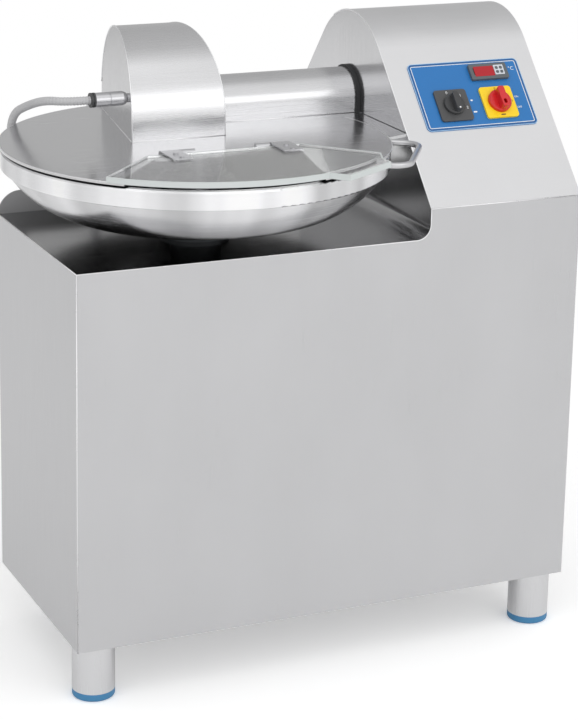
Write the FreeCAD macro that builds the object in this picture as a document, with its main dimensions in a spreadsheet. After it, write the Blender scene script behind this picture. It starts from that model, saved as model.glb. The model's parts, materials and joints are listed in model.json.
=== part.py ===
"""A floor-standing meat bowl cutter of stainless sheet.

A wide bowl turns slowly on an upright shaft and carries the meat through three sickle knives.
The knives spin fast on a level shaft behind the bowl's centre. A hinged lid with a knife hood,
a shaft cover and a clear loading cover closes the bowl. The console on the right holds the
drive of the knives, the switches and the thermometer.

All lengths are in millimetres and all angles in degrees. X runs to the right, Y to the back
and Z up. The origin lies on the floor under the middle of the whole machine.
"""
import FreeCAD, Part
import math
import os
import Sketcher

from FreeCAD import Placement, Rotation, Vector

SIZES = {
    # Cabinet of bent sheet
    "body_height": 670, "cabinet_depth": 425, "console_width": 300, "sheet_gauge": 2,
    "deck_bend": 26, "upstand_height": 41, "wall_gap": 31.5,
    # Console on the right
    "console_overhang": 125, "console_radius": 152, "console_centre_in": 336,
    "console_centre_up": 197, "slant_angle": 42.4, "rear_angle": 39.4, "overhang_up": 30,
    # Service opening and inner frame
    "service_width": 560, "service_height": 380, "service_side": 190, "service_up": 110,
    "service_lap": 20, "louvre_count": 7, "louvre_pitch": 45, "louvre_width": 300,
    "louvre_slot": 6, "floor_gauge": 3, "frame_tube": 30, "screw_radius": 2.5,
    # Legs
    "leg_radius": 37.5, "leg_height": 86, "foot_height": 14, "leg_inset": 6, "leg_wall": 3,
    "rear_leg_in": 130, "leg_bolt": 6, "foot_spigot": 12,
    # Bowl
    "bowl_from_left": 280, "bowl_from_front": 178, "bowl_lift": 45, "bowl_wall": 7,
    "trough_radius": 167, "trough_flat": 23, "trough_curve": 160, "rim_band": 32,
    "rim_thick": 16, "hub_height": 90, "hub_boss": 30,
    # Knives and their shaft
    "knife_radius": 135, "knife_clearance": 6, "knife_thick": 4, "knife_hub": 36,
    "knife_pitch": 24, "knife_shift": 24, "shaft_radius": 15, "stop_radius": 30,
    "tube_radius": 32, "bearing_radius": 27.5, "bearing_width": 13, "rim_gap": 3,
    "flange_radius": 52, "flange_thick": 12, "tube_inside": 50, "stud_radius": 3,
    # Belt drive
    "driven_radius": 55, "motor_pulley_radius": 75, "belt_width": 28, "belt_thick": 4.6,
    "pulley_clear": 16, "motor_radius": 96, "motor_length": 250, "motor_height": 112,
    "motor_in": 215, "motor_shaft": 14, "cradle_height": 140, "cradle_plate": 6,
    "cradle_width": 230,
    # Bowl drive
    "bowl_shaft": 17.5, "bush_wall": 4.5, "bearing_barrel": 44, "bearing_flange": 60,
    "gearbox_side": 120, "gearbox_height": 118, "bowl_motor_radius": 58,
    "bowl_motor_length": 190,
    # Lid
    "lid_gap": 4, "lid_thick": 5, "lid_lap": 1.5, "bridge_front": 92, "bridge_rear": 292,
    "bridge_play": 2, "mouth_half": 225, "mouth_rear": 143,
    "mouth_right": 96, "mouth_side": 300, "mouth_rear_half": 130,
    "hood_gap": 11, "hood_shift": 4, "hood_rise": 3, "hood_left": 111, "hood_right": 62,
    "hood_taper": 9.7, "lid_wall": 2, "slot_ledge": 2.5, "shaft_cover_gap": 16, "seal_lap": 4,
    # Clear cover
    "cover_gauge": 10, "cover_play": 0.5, "cover_lap": 12, "cover_left": 252,
    "cover_rear": 128, "cover_rear_half": 138, "cover_right": 240, "cover_right_in": 234,
    "tab_reach": 364, "tab_left": 96, "tab_front": 121, "tab_right": 226, "tab_right_in": 300,
    "tab_notch_in": 275, "leaf_width": 35, "leaf_length": 62, "leaf_gauge": 2.5,
    "leaf_left": 110, "leaf_right": 90, "knuckle_radius": 6, "knuckle_back": 16,
    "pin_radius": 3, "post_width": 26,
    # Lid hinge and handle
    "pivot_back": 15.5, "pivot_radius": 8, "lug_width": 10, "cheek_width": 8, "hinge_half": 56,
    "lug_radius": 13, "bracket_foot": 180, "bracket_air": 10, "bracket_over": 20,
    "cheek_in": 12, "cheek_low": 40, "cheek_high": 85, "base_gauge": 6,
    "handle_half": 88, "handle_reach": 54, "handle_bar": 5, "handle_bend": 36,
    "handle_angle": 33.5,
    # Temperature probe on the hood
    "probe_in": 44, "probe_up": 47, "probe_radius": 12.4, "probe_neck": 7.8, "hose_radius": 7.5,
    "gland_in": 126, "gland_up": 590, "gland_radius": 7,
    # Controls on the slanted front, measured up the slope and from the console's left wall
    "panel_width": 224, "panel_height": 140, "panel_gauge": 1.5, "panel_side": 42,
    "panel_up": 151, "panel_corner": 9, "plate_side": 64, "plate_gauge": 4,
    "switch_side": 107, "mains_side": 199, "switch_up": 199.5, "knob_radius": 20,
    "meter_width": 76, "meter_height": 32, "meter_depth": 6, "meter_side": 198.6,
    "meter_up": 263.6, "spindle_radius": 3, "switch_body": 48, "switch_depth": 42,
    # Clearances
    "fit": 0.06, "air": 0.3, "hole_play": 0.25,
}


class Size:
    """A length with its value now and the sheet formula that keeps it up to date."""

    def __init__(self, value, text):
        self.value = float(value)
        self.text = text

    def _with(self, sign, other, value):
        return Size(value, "(%s %s %s)" % (self.text, sign, text_of(other)))

    def __add__(self, other):
        return self._with("+", other, self.value + value_of(other))

    def __sub__(self, other):
        return self._with("-", other, self.value - value_of(other))

    def __mul__(self, other):
        return self._with("*", other, self.value * value_of(other))

    def __truediv__(self, other):
        return self._with("/", other, self.value / value_of(other))

    def __radd__(self, other):
        return as_size(other) + self

    def __rsub__(self, other):
        return as_size(other) - self

    def __rmul__(self, other):
        return as_size(other) * self

    def __neg__(self):
        return Size(-self.value, "(0 - %s)" % self.text)


def value_of(item):
    return item.value if isinstance(item, Size) else float(item)


def text_of(item):
    return item.text if isinstance(item, Size) else repr(float(item))


def as_size(item):
    return item if isinstance(item, Size) else Size(item, text_of(item))


def root(item):
    return Size(math.sqrt(item.value), "sqrt(%s)" % item.text)


def sine(angle):
    return Size(math.sin(math.radians(angle.value)), "sin(%s)" % angle.text)


def cosine(angle):
    return Size(math.cos(math.radians(angle.value)), "cos(%s)" % angle.text)


doc = FreeCAD.newDocument("bowl_cutter")
sheet = doc.addObject("Spreadsheet::Sheet", "sizes")
bound = []
parts = []
cells = []


def cell(name, content, value):
    """Write one named cell of the sheet and hand back its size."""
    cells.append(name)
    row = len(cells)
    sheet.set("A%d" % row, name)
    sheet.set("B%d" % row, content)
    sheet.setAlias("B%d" % row, name)
    return Size(value, "sizes.%s" % name)


def derive(name, size):
    """Keep a worked-out size in the sheet as a formula of its own."""
    return cell(name, "=" + size.text.replace("sizes.", ""), size.value)


class Given:
    """The driving sizes by name."""


s = Given()
for size_name, number in SIZES.items():
    setattr(s, size_name, cell(size_name, str(number), number))

# Heights
base_z = derive("base_z", s.leg_height + s.foot_height)
deck_z = derive("deck_z", base_z + s.body_height)
gland_z = derive("gland_z", base_z + s.gland_up)
bracket_z = derive("bracket_z", base_z + s.service_up + s.service_height + s.service_lap
                   + s.bracket_air)
bowl_low = derive("bowl_low", deck_z + s.bowl_lift)
bowl_floor = derive("bowl_floor", bowl_low + s.bowl_wall)
shaft_z = derive("shaft_z", bowl_floor + s.knife_clearance + s.knife_radius)
rim_z = derive("rim_z", shaft_z - s.tube_radius - s.rim_gap)
band_z = derive("band_z", rim_z - s.rim_band)
lid_low = derive("lid_low", rim_z + s.lid_gap)
lid_top = derive("lid_top", lid_low + s.lid_thick)
cover_low = derive("cover_low", lid_top + s.cover_play)
cover_top = derive("cover_top", cover_low + s.cover_gauge)

# Bowl, measured from its axis
wall_centre = derive("wall_centre", s.trough_radius + s.trough_flat)
wall_centre_z = derive("wall_centre_z", bowl_low + s.trough_curve)
trough_inner = derive("trough_inner", s.trough_curve - s.bowl_wall)
band_drop = derive("band_drop", wall_centre_z - band_z)
rim_inner = derive("rim_inner", wall_centre + root(trough_inner * trough_inner - band_drop * band_drop))
rim_outer = derive("rim_outer", rim_inner + s.rim_thick)
lid_radius = derive("lid_radius", rim_outer + s.lid_lap)
cover_radius = derive("cover_radius", lid_radius + s.cover_lap)

# Plan of the machine, measured from the cabinet's front left corner
wall_x = derive("wall_x", s.bowl_from_left + lid_radius + s.wall_gap)
cabinet_width = derive("cabinet_width", wall_x + s.console_width)
console_depth = derive("console_depth", s.cabinet_depth + s.console_overhang)
left = derive("left", (lid_radius - s.bowl_from_left - cabinet_width) / 2)
front = derive("front", (s.tab_reach - s.bowl_from_front - console_depth) / 2)
bowl_x = derive("bowl_x", left + s.bowl_from_left)
bowl_y = derive("bowl_y", front + s.bowl_from_front)
shaft_y = derive("shaft_y", bowl_y + s.trough_radius)
wall_in = derive("wall_in", wall_x - s.bowl_from_left)

# Console profile, in cabinet depth and height
console_z = derive("console_z", deck_z + s.console_centre_up)
overhang_z = derive("overhang_z", deck_z + s.overhang_up)
slant_sin = derive("slant_sin", sine(s.slant_angle))
slant_cos = derive("slant_cos", cosine(s.slant_angle))
rear_sin = derive("rear_sin", sine(s.rear_angle))
rear_cos = derive("rear_cos", cosine(s.rear_angle))
taper_tan = derive("taper_tan", sine(s.hood_taper) / cosine(s.hood_taper))
taper_cos = derive("taper_cos", cosine(s.hood_taper))

# Hood and shaft cover, measured from the bowl's axis
hood_radius = derive("hood_radius", s.knife_radius + s.hood_gap)
hood_y = derive("hood_y", s.trough_radius - s.hood_shift)
hood_z = derive("hood_z", shaft_z + s.hood_rise)
hood_front = derive("hood_front", hood_y - hood_radius)
shaft_cover = derive("shaft_cover", s.tube_radius + s.shaft_cover_gap + s.lid_wall)
pivot_y = derive("pivot_y", lid_radius + s.pivot_back)
pivot_z = derive("pivot_z", lid_low - 1)
knuckle_y = derive("knuckle_y", s.knuckle_back - s.cover_rear)
knuckle_z = derive("knuckle_z", cover_top + s.leaf_gauge - s.knuckle_radius)

# Knife shaft, measured to the right from the bowl's axis
head_end = derive("head_end", s.knife_pitch * 1.5 + s.knife_thick - s.knife_shift)
tube_start = derive("tube_start", head_end + 8)
flange_x = derive("flange_x", wall_in + s.sheet_gauge)
tube_end = derive("tube_end", flange_x + s.tube_inside)
pulley_x = derive("pulley_x", tube_end + s.pulley_clear)
motor_z = derive("motor_z", base_z + s.floor_gauge + s.cradle_height + s.motor_height)
motor_y = derive("motor_y", front + s.motor_in)
motor_end = derive("motor_end", pulley_x - 24)


class Round:
    """A full circle in a sketch."""

    def __init__(self, across, up, radius):
        self.across = across
        self.up = up
        self.radius = radius


class Bend:
    """An arc between two corners of an outline, about a centre or with a radius."""

    def __init__(self, turn, centre=None, radius=None):
        self.turn = turn
        self.centre = centre
        self.radius = radius


def tie(item, path, size):
    """Bind a property to the sheet and remember the pair for the final check."""
    if isinstance(size, Size):
        item.setExpression(path, size.text)
        bound.append((item, path, size))


def draw_round(sketch, ring):
    """Draw a circle with its centre and radius tied to the sheet."""
    centre = Vector(value_of(ring.across), value_of(ring.up), 0)
    index = sketch.addGeometry(Part.Circle(centre, Vector(0, 0, 1), value_of(ring.radius)))
    rules = [("DistanceX", ring.across), ("DistanceY", ring.up)]
    for kind, size in rules:
        rule = Sketcher.Constraint(kind, -1, 1, index, 3, value_of(size))
        tie(sketch, "Constraints[%d]" % sketch.addConstraint(rule), size)
    rule = Sketcher.Constraint("Radius", index, value_of(ring.radius))
    tie(sketch, "Constraints[%d]" % sketch.addConstraint(rule), ring.radius)


def arc_centre(start, end, bend):
    """Find an arc's centre: as given, or from its radius and the side it bends to."""
    if bend.centre:
        return Vector(value_of(bend.centre[0]), value_of(bend.centre[1]), 0)
    chord = end - start
    radius = value_of(bend.radius)
    rise = math.sqrt(radius ** 2 - (chord.Length / 2) ** 2)
    side = Vector(-chord.y, chord.x, 0).normalize()
    if bend.turn == "right":
        side = -side
    return (start + end) / 2 + side * rise


def arc_edge(start, end, bend):
    """Make the arc from start to end, and say at which of its ends it starts."""
    centre = arc_centre(start, end, bend)
    circle = Part.Circle(centre, Vector(0, 0, 1), (start - centre).Length)
    first = math.atan2(start.y - centre.y, start.x - centre.x)
    last = math.atan2(end.y - centre.y, end.x - centre.x)
    if bend.turn == "right":
        first, last = last, first
    if last <= first:
        last += 2 * math.pi
    return Part.ArcOfCircle(circle, first, last), 2 if bend.turn == "right" else 1


def draw_outline(sketch, outline):
    """Close a line through the corners, with each corner and arc tied to the sheet."""
    corners = [item for item in outline if not isinstance(item, Bend)]
    spots = [Vector(value_of(x), value_of(y), 0) for x, y in corners]
    bends = {}
    count = 0
    for item in outline:
        if isinstance(item, Bend):
            bends[count - 1] = item
        else:
            count += 1
    edges = []
    starts = []
    for number, spot in enumerate(spots):
        target = spots[(number + 1) % count]
        if number in bends:
            edge, begin = arc_edge(spot, target, bends[number])
        else:
            edge, begin = Part.LineSegment(spot, target), 1
        edges.append(edge)
        starts.append(begin)
    first = sketch.GeometryCount
    sketch.addGeometry(edges)
    for number, (across, up) in enumerate(corners):
        index = first + number
        following = first + (number + 1) % count
        next_start = starts[(number + 1) % count]
        joint = Sketcher.Constraint("Coincident", index, 3 - starts[number], following, next_start)
        sketch.addConstraint(joint)
        for kind, size in (("DistanceX", across), ("DistanceY", up)):
            rule = Sketcher.Constraint(kind, -1, 1, index, starts[number], value_of(size))
            tie(sketch, "Constraints[%d]" % sketch.addConstraint(rule), size)
        if number in bends:
            shape_bend(sketch, index, spots[number], spots[(number + 1) % count], bends[number])


def shape_bend(sketch, index, start, end, bend):
    """Fix an arc's last freedom, by its radius or by one place of its centre."""
    if bend.centre is None:
        rule = Sketcher.Constraint("Radius", index, value_of(bend.radius))
        tie(sketch, "Constraints[%d]" % sketch.addConstraint(rule), bend.radius)
        return
    chord = end - start
    kind, size = ("DistanceY", bend.centre[1])
    if abs(chord.y) > abs(chord.x):
        kind, size = ("DistanceX", bend.centre[0])
    rule = Sketcher.Constraint(kind, -1, 1, index, 3, value_of(size))
    tie(sketch, "Constraints[%d]" % sketch.addConstraint(rule), size)


def new_body(name, x=0, y=0, z=0, rotation=None):
    """Start a body with its own place in the machine."""
    body = doc.addObject("PartDesign::Body", name)
    body.AllowCompound = True
    place(body, x, y, z, rotation)
    return body


def place(item, x, y, z, rotation=None):
    item.Placement = Placement(Vector(value_of(x), value_of(y), value_of(z)),
                               rotation or Rotation())
    for letter, size in (("x", x), ("y", y), ("z", z)):
        tie(item, "Placement.Base.%s" % letter, size)


def plane_of(body, role):
    return next(item for item in body.Origin.OriginFeatures if item.Role == role + "_Plane")


def sketch_on(body, plane, level, loops):
    """Sketch closed loops on an origin plane of the body, moved along its normal."""
    sketch = body.newObject("Sketcher::SketchObject", "outline")
    sketch.AttachmentSupport = (plane_of(body, plane), [""])
    sketch.MapMode = "FlatFace"
    shift = -as_size(level) if plane == "XZ" else as_size(level)
    sketch.AttachmentOffset = Placement(Vector(0, 0, shift.value), Rotation())
    tie(sketch, "AttachmentOffset.Base.z", shift)
    for loop in loops:
        if isinstance(loop, Round):
            draw_round(sketch, loop)
        else:
            draw_outline(sketch, loop)
    return sketch


def prism(body, plane, loops, low, high):
    """Pad the loops between two levels across the plane."""
    level = high if plane == "XZ" else low
    sketch = sketch_on(body, plane, level, loops)
    pad = body.newObject("PartDesign::Pad", "pad")
    pad.Profile = sketch
    pad.Length = value_of(high) - value_of(low)
    tie(pad, "Length", as_size(high) - low)
    return pad


def cut(body, plane, loops, low, high):
    """Cut the loops out of the body between two levels across the plane."""
    level = low if plane == "XZ" else high
    sketch = sketch_on(body, plane, level, loops)
    pocket = body.newObject("PartDesign::Pocket", "cut")
    pocket.Profile = sketch
    pocket.Length = value_of(high) - value_of(low)
    tie(pocket, "Length", as_size(high) - low)
    return pocket


def turn(body, outline):
    """Turn an outline of radius and height about the body's own Z axis."""
    sketch = sketch_on(body, "XZ", 0, [outline])
    turned = body.newObject("PartDesign::Revolution", "turned")
    turned.Profile = sketch
    turned.ReferenceAxis = (sketch, ["V_Axis"])
    turned.Angle = 360
    return turned


def ring(inner, outer, low, high):
    """The outline of a plain ring, bush or disc."""
    return [(inner, low), (outer, low), (outer, high), (inner, high)]


def box_loop(x0, y0, x1, y1):
    return [(x0, y0), (x1, y0), (x1, y1), (x0, y1)]


def rounded_loop(x0, y0, x1, y1, radius):
    """A rectangle with four rounded corners."""
    return [(x0 + radius, y0), (x1 - radius, y0),
            Bend("left", (x1 - radius, y0 + radius)), (x1, y0 + radius), (x1, y1 - radius),
            Bend("left", (x1 - radius, y1 - radius)), (x1 - radius, y1), (x0 + radius, y1),
            Bend("left", (x0 + radius, y1 - radius)), (x0, y1 - radius), (x0, y0 + radius),
            Bend("left", (x0 + radius, y0 + radius))]


def arch(centre, half, low, spring):
    """An upright arch: straight sides from low to the spring line, then a half circle."""
    return [(centre - half, low), (centre + half, low), (centre + half, spring),
            Bend("left", (centre, spring)), (centre - half, spring)]


def arch_band(centre, outer, inner, low, spring):
    """The same arch as a thin wall, open below."""
    return [(centre - inner, low), (centre - inner, spring), Bend("right", (centre, spring)),
            (centre + inner, spring), (centre + inner, low), (centre + outer, low),
            (centre + outer, spring), Bend("left", (centre, spring)),
            (centre - outer, spring), (centre - outer, low)]


def soften(body, radius, chosen, kind="PartDesign::Fillet"):
    """Round or chamfer the edges that a test picks from the body's last feature."""
    doc.recompute()
    base = body.Tip
    names = ["Edge%d" % (number + 1) for number, edge in enumerate(base.Shape.Edges)
             if chosen(edge)]
    feature = body.newObject(kind, "softened")
    feature.Base = (base, names)
    path = "Radius" if kind.endswith("Fillet") else "Size"
    setattr(feature, path, value_of(radius))
    tie(feature, path, radius)
    return feature


def joined(name, kind, first, *others):
    """Cut, common or fuse finished shapes."""
    result = doc.addObject("Part::" + kind, name)
    if kind == "MultiFuse":
        result.Shapes = [first] + list(others)
    else:
        result.Base = first
        result.Tool = others[0]
    return result


def keep(item, name):
    """Name a finished piece and set it down for export."""
    item.Label = name
    parts.append(item)
    return item


def cabinet_body(name):
    """A body measured from the cabinet's front left corner on the floor."""
    return new_body(name, left, front, 0)


def bowl_body(name):
    """A body measured from the bowl's axis on the floor."""
    return new_body(name, bowl_x, bowl_y, 0)


def shaft_body(name, spin=0):
    """A body on the knife shaft: its Z axis points right, from the bowl's own plane."""
    turned = Rotation(Vector(0, 1, 0), 90) * Rotation(Vector(0, 0, 1), spin)
    return new_body(name, bowl_x, shaft_y, shaft_z, turned)


def motor_body(name):
    """A body on the motor's axis: its Z axis points right, from the bowl's own plane."""
    return new_body(name, bowl_x, motor_y, motor_z, Rotation(Vector(0, 1, 0), 90))


def console_height(depth, inset):
    """Height of the slanted front at a depth, with the whole profile set in."""
    reach = s.console_radius - inset + slant_cos * (depth - s.console_centre_in)
    return console_z + reach / slant_sin


def console_rear_height(depth, inset):
    reach = s.console_radius - inset - rear_cos * (depth - s.console_centre_in)
    return console_z + reach / rear_sin


fold_z = derive("fold_z", console_height(as_size(0), 0))
fold_inner = derive("fold_inner", console_height(s.sheet_gauge, s.sheet_gauge))


def console_top(inset):
    """The console's slant, round top and rear slope, from front to back."""
    centre = (s.console_centre_in, console_z)
    radius = s.console_radius - inset
    rear = console_depth - inset
    return [(s.console_centre_in - radius * slant_cos, console_z + radius * slant_sin),
            Bend("right", centre),
            (s.console_centre_in + radius * rear_cos, console_z + radius * rear_sin),
            (rear, console_rear_height(rear, inset)), (rear, overhang_z)]


def reversed_outline(outline):
    """Walk an outline the other way round."""
    swap = {"left": "right", "right": "left"}
    return [Bend(swap[item.turn], item.centre, item.radius) if isinstance(item, Bend) else item
            for item in reversed(outline)]


def front_panel():
    """The whole front, with the console's part standing higher past the rounded corner."""
    body = cabinet_body("front_panel")
    bend = Bend("right", (wall_x - s.deck_bend, deck_z + s.deck_bend))
    outline = [(0, base_z), (cabinet_width, base_z), (cabinet_width, fold_inner),
               (wall_x, fold_inner), (wall_x, deck_z + s.deck_bend), bend,
               (wall_x - s.deck_bend, deck_z), (0, deck_z)]
    prism(body, "XZ", [outline], 0, s.sheet_gauge)
    return keep(body, "front_panel")


def left_panel():
    body = cabinet_body("left_panel")
    rear = s.cabinet_depth - s.sheet_gauge
    loop = box_loop(s.sheet_gauge, base_z, rear, deck_z - s.sheet_gauge)
    prism(body, "YZ", [loop], 0, s.sheet_gauge)
    return keep(body, "left_panel")


def right_panel():
    """The right side of cabinet and console in one sheet, inside the console's wrap."""
    body = cabinet_body("right_panel")
    rear = s.cabinet_depth - s.sheet_gauge
    outline = [(s.sheet_gauge, base_z), (s.sheet_gauge, fold_inner)]
    outline += console_top(s.sheet_gauge)
    outline += [(rear, overhang_z), (rear, base_z)]
    prism(body, "YZ", [outline], cabinet_width - s.sheet_gauge, cabinet_width)
    return keep(body, "right_panel")


def console_wrap():
    """One sheet bent over the console: slant, round top, rear slope, rear wall and floor."""
    body = cabinet_body("console_wrap")
    outline = [(0, fold_inner), (0, fold_z)] + console_top(0)[:-1]
    outline += [(console_depth, overhang_z - s.sheet_gauge),
                (s.cabinet_depth, overhang_z - s.sheet_gauge), (s.cabinet_depth, overhang_z)]
    outline += reversed_outline(console_top(s.sheet_gauge)) + [(s.sheet_gauge, fold_inner)]
    prism(body, "YZ", [outline], wall_x, cabinet_width)
    sketch = sketch_on(body, "XY", 0, [
        Round(wall_x + s.switch_side, s.switch_up, s.spindle_radius + s.hole_play),
        Round(wall_x + s.mains_side, s.switch_up, s.spindle_radius + s.hole_play)])
    tilt = Rotation(Vector(1, 0, 0), 90 - s.slant_angle.value)
    sketch.AttachmentOffset = Placement(Vector(0, 0, fold_z.value), tilt)
    tie(sketch, "AttachmentOffset.Base.z", fold_z)
    tie(sketch, "AttachmentOffset.Rotation.Angle", 90 - s.slant_angle)
    pocket = body.newObject("PartDesign::Pocket", "spindle_holes")
    pocket.Profile = sketch
    pocket.Midplane = True
    pocket.Length = 10
    return keep(body, "console_wrap")


def deck():
    """The deck under the bowl, bent up at the right into the console's left wall."""
    sheet_body = cabinet_body("deck_sheet")
    low = deck_z - s.sheet_gauge
    turn_z = deck_z + s.deck_bend
    centre = (wall_x - s.deck_bend, turn_z)
    top = console_z + s.console_radius
    outer = wall_x + s.sheet_gauge
    outline = [(0, low), (wall_x - s.deck_bend, low), Bend("left", centre), (outer, turn_z),
               (outer, top), (wall_x, top), (wall_x, turn_z), Bend("right", centre),
               (wall_x - s.deck_bend, deck_z), (0, deck_z)]
    prism(sheet_body, "XZ", [outline], s.sheet_gauge, console_depth - s.sheet_gauge)
    shaft_hole = Round(s.bowl_from_left, s.bowl_from_front, s.bearing_barrel + s.hole_play)
    cut(sheet_body, "XY", [shaft_hole], low - 1, deck_z + 1)
    tube_y = s.bowl_from_front + s.trough_radius
    tube_hole = Round(tube_y, shaft_z, s.tube_radius + s.hole_play)
    studs = [Round(tube_y + spot.up, shaft_z - spot.across, spot.radius)
             for spot in flange_spots(as_size(0), as_size(0))]
    cut(sheet_body, "YZ", [tube_hole] + studs, wall_x - 1, outer + 1)
    trim = cabinet_body("deck_trim")
    rear = s.cabinet_depth - s.sheet_gauge
    shape = [(s.sheet_gauge, low), (s.sheet_gauge, fold_inner)] + console_top(s.sheet_gauge)
    shape += [(rear, overhang_z), (rear, low)]
    prism(trim, "YZ", [shape], 0, outer)
    return keep(joined("deck", "Common", sheet_body, trim), "deck")


def flange_spots(across, up):
    """Six stud holes of the bearing tube's flange, seen with the tube's axis upright."""
    pitch = (s.tube_radius + s.flange_radius) / 2
    half = pitch * 0.5
    side = pitch * math.sqrt(0.75)
    play = s.stud_radius + s.hole_play
    spots = [(pitch, 0), (half, side), (-half, side), (-pitch, 0), (-half, -side), (half, -side)]
    return [Round(across + x, up + y, play) for x, y in spots]


def rear_panel():
    """The back, rising past the deck at the left as a splash edge with a rounded corner."""
    body = cabinet_body("rear_panel")
    top = deck_z + s.upstand_height
    corner = s.upstand_height
    outline = [(0, base_z), (cabinet_width, base_z), (cabinet_width, overhang_z),
               (wall_x, overhang_z), (wall_x, top), (corner, top),
               Bend("left", (corner, deck_z)), (0, deck_z)]
    prism(body, "XZ", [outline], s.cabinet_depth - s.sheet_gauge, s.cabinet_depth)
    opening = box_loop(s.service_side, base_z + s.service_up,
                       s.service_side + s.service_width,
                       base_z + s.service_up + s.service_height)
    gland = Round(s.gland_in, gland_z, s.gland_radius + s.hole_play)
    cut(body, "XZ", [opening, gland] + cover_screw_spots(s.screw_radius + s.hole_play),
        s.cabinet_depth - s.sheet_gauge - 1, s.cabinet_depth + 1)
    return keep(body, "rear_panel")


def cover_screw_spots(radius):
    """Six screws along the sides of the service cover."""
    inset = s.service_lap / 2
    x0 = s.service_side - inset
    x1 = s.service_side + s.service_width + inset
    z0 = base_z + s.service_up
    middle = z0 + s.service_height / 2
    z1 = z0 + s.service_height
    return [Round(x, z, radius) for x in (x0, x1) for z in (z0, middle, z1)]


def service_cover():
    """A removable back cover with rows of slots that let the motor's air out."""
    body = cabinet_body("service_cover")
    lap = s.service_lap
    low = base_z + s.service_up - lap
    high = base_z + s.service_up + s.service_height + lap
    rear = s.cabinet_depth + s.sheet_gauge
    loop = rounded_loop(s.service_side - lap, low, s.service_side + s.service_width + lap,
                        high, as_size(8))
    prism(body, "XZ", [loop], s.cabinet_depth, rear)
    cut(body, "XZ", cover_screw_spots(s.screw_radius + s.hole_play),
        s.cabinet_depth - 1, rear + 1)
    start = s.service_side + (s.service_width - s.louvre_width) / 2
    slot = rounded_loop(start, low + 3 * lap, start + s.louvre_width,
                        low + 3 * lap + s.louvre_slot, s.louvre_slot / 2.5)
    first = cut(body, "XZ", [slot], s.cabinet_depth - 1, rear + 1)
    rows = body.newObject("PartDesign::LinearPattern", "louvres")
    rows.Originals = [first]
    rows.Direction = (first.Profile[0], ["V_Axis"])
    rows.Length = (s.louvre_pitch * (s.louvre_count - 1)).value
    tie(rows, "Length", s.louvre_pitch * (s.louvre_count - 1))
    rows.Occurrences = int(s.louvre_count.value)
    tie(rows, "Occurrences", s.louvre_count)
    body.Tip = rows
    return keep(body, "service_cover")


def leg_centres():
    """The four legs' axes from the cabinet's front left corner, with their names."""
    near = s.leg_radius + s.leg_inset
    return [("front_left", near, near), ("front_right", cabinet_width - near, near),
            ("rear_left", s.rear_leg_in, s.cabinet_depth - near),
            ("rear_right", cabinet_width - s.rear_leg_in, s.cabinet_depth - near)]


def bottom_plate():
    body = cabinet_body("bottom_plate")
    loop = box_loop(s.sheet_gauge, s.sheet_gauge, cabinet_width - s.sheet_gauge,
                    s.cabinet_depth - s.sheet_gauge)
    prism(body, "XY", [loop], base_z, base_z + s.floor_gauge)
    holes = [Round(x, y, s.leg_bolt + s.hole_play) for _, x, y in leg_centres()]
    cut(body, "XY", holes, base_z - 1, base_z + s.floor_gauge + 1)
    return keep(body, "bottom_plate")


def legs():
    """Round steel legs with a bolt above, each on a blue rubber foot with a spigot inside it."""
    posts = []
    pads = []
    inner = s.leg_radius - s.leg_wall
    bolt = s.leg_bolt
    cap = base_z - s.leg_wall * 2
    plate_top = base_z + s.floor_gauge
    for name, x, y in leg_centres():
        leg = new_body("leg_" + name, left + x, front + y, 0)
        turn(leg, [(inner, s.foot_height), (s.leg_radius, s.foot_height), (s.leg_radius, base_z),
                   (bolt, base_z), (bolt, plate_top), (bolt + 4, plate_top),
                   (bolt + 4, plate_top + 8), (bolt, plate_top + 8), (bolt, plate_top + 12),
                   (0, plate_top + 12), (0, cap), (inner, cap)])
        posts.append(leg)
        foot = new_body("foot_" + name, left + x, front + y, 0)
        neck = inner - s.hole_play
        edge = s.foot_height * 0.35
        turn(foot, [(0, 0), (s.leg_radius - edge, 0), Bend("left", (s.leg_radius - edge, edge)),
                    (s.leg_radius, edge), (s.leg_radius, s.foot_height), (neck, s.foot_height),
                    (neck, s.foot_height + s.foot_spigot), (0, s.foot_height + s.foot_spigot)])
        pads.append(foot)
    keep(joined("legs", "MultiFuse", *posts), "legs")
    keep(joined("feet", "MultiFuse", *pads), "feet")


def steel_bar(name, x0, y0, z0, x1, y1, z1):
    """A square bar between two corners, measured from the cabinet's front left corner."""
    bar = doc.addObject("Part::Box", name)
    place(bar, left + x0, front + y0, z0)
    for path, size in (("Length", x1 - x0), ("Width", y1 - y0), ("Height", z1 - z0)):
        setattr(bar, path, size.value)
        tie(bar, path, size)
    return bar


def inner_frame():
    """The welded frame that the sheets are fixed to, with two cross bars under the bowl."""
    tube = s.frame_tube
    near = s.sheet_gauge
    far_x = cabinet_width - near
    far_y = s.cabinet_depth - near
    low = base_z + s.floor_gauge + 14
    high = deck_z - s.sheet_gauge
    bars = []
    for x in (near, far_x - tube):
        for y in (near, far_y - tube):
            bars.append(steel_bar("upright", x, y, low, x + tube, y + tube, high))
        for z in (low, high - tube):
            bars.append(steel_bar("side_rail", x, near + tube, z, x + tube, far_y - tube, z + tube))
    for y in (near, far_y - tube):
        for z in (low, high - tube):
            bars.append(steel_bar("long_rail", near + tube, y, z, far_x - tube, y + tube, z + tube))
    reach = s.gearbox_side / 2 + 12
    for x in (s.bowl_from_left - reach - tube, s.bowl_from_left + reach):
        bars.append(steel_bar("cross_bar", x, near + tube, high - tube, x + tube, far_y - tube, high))
    return keep(joined("inner_frame", "MultiFuse", *bars), "inner_frame")


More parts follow.
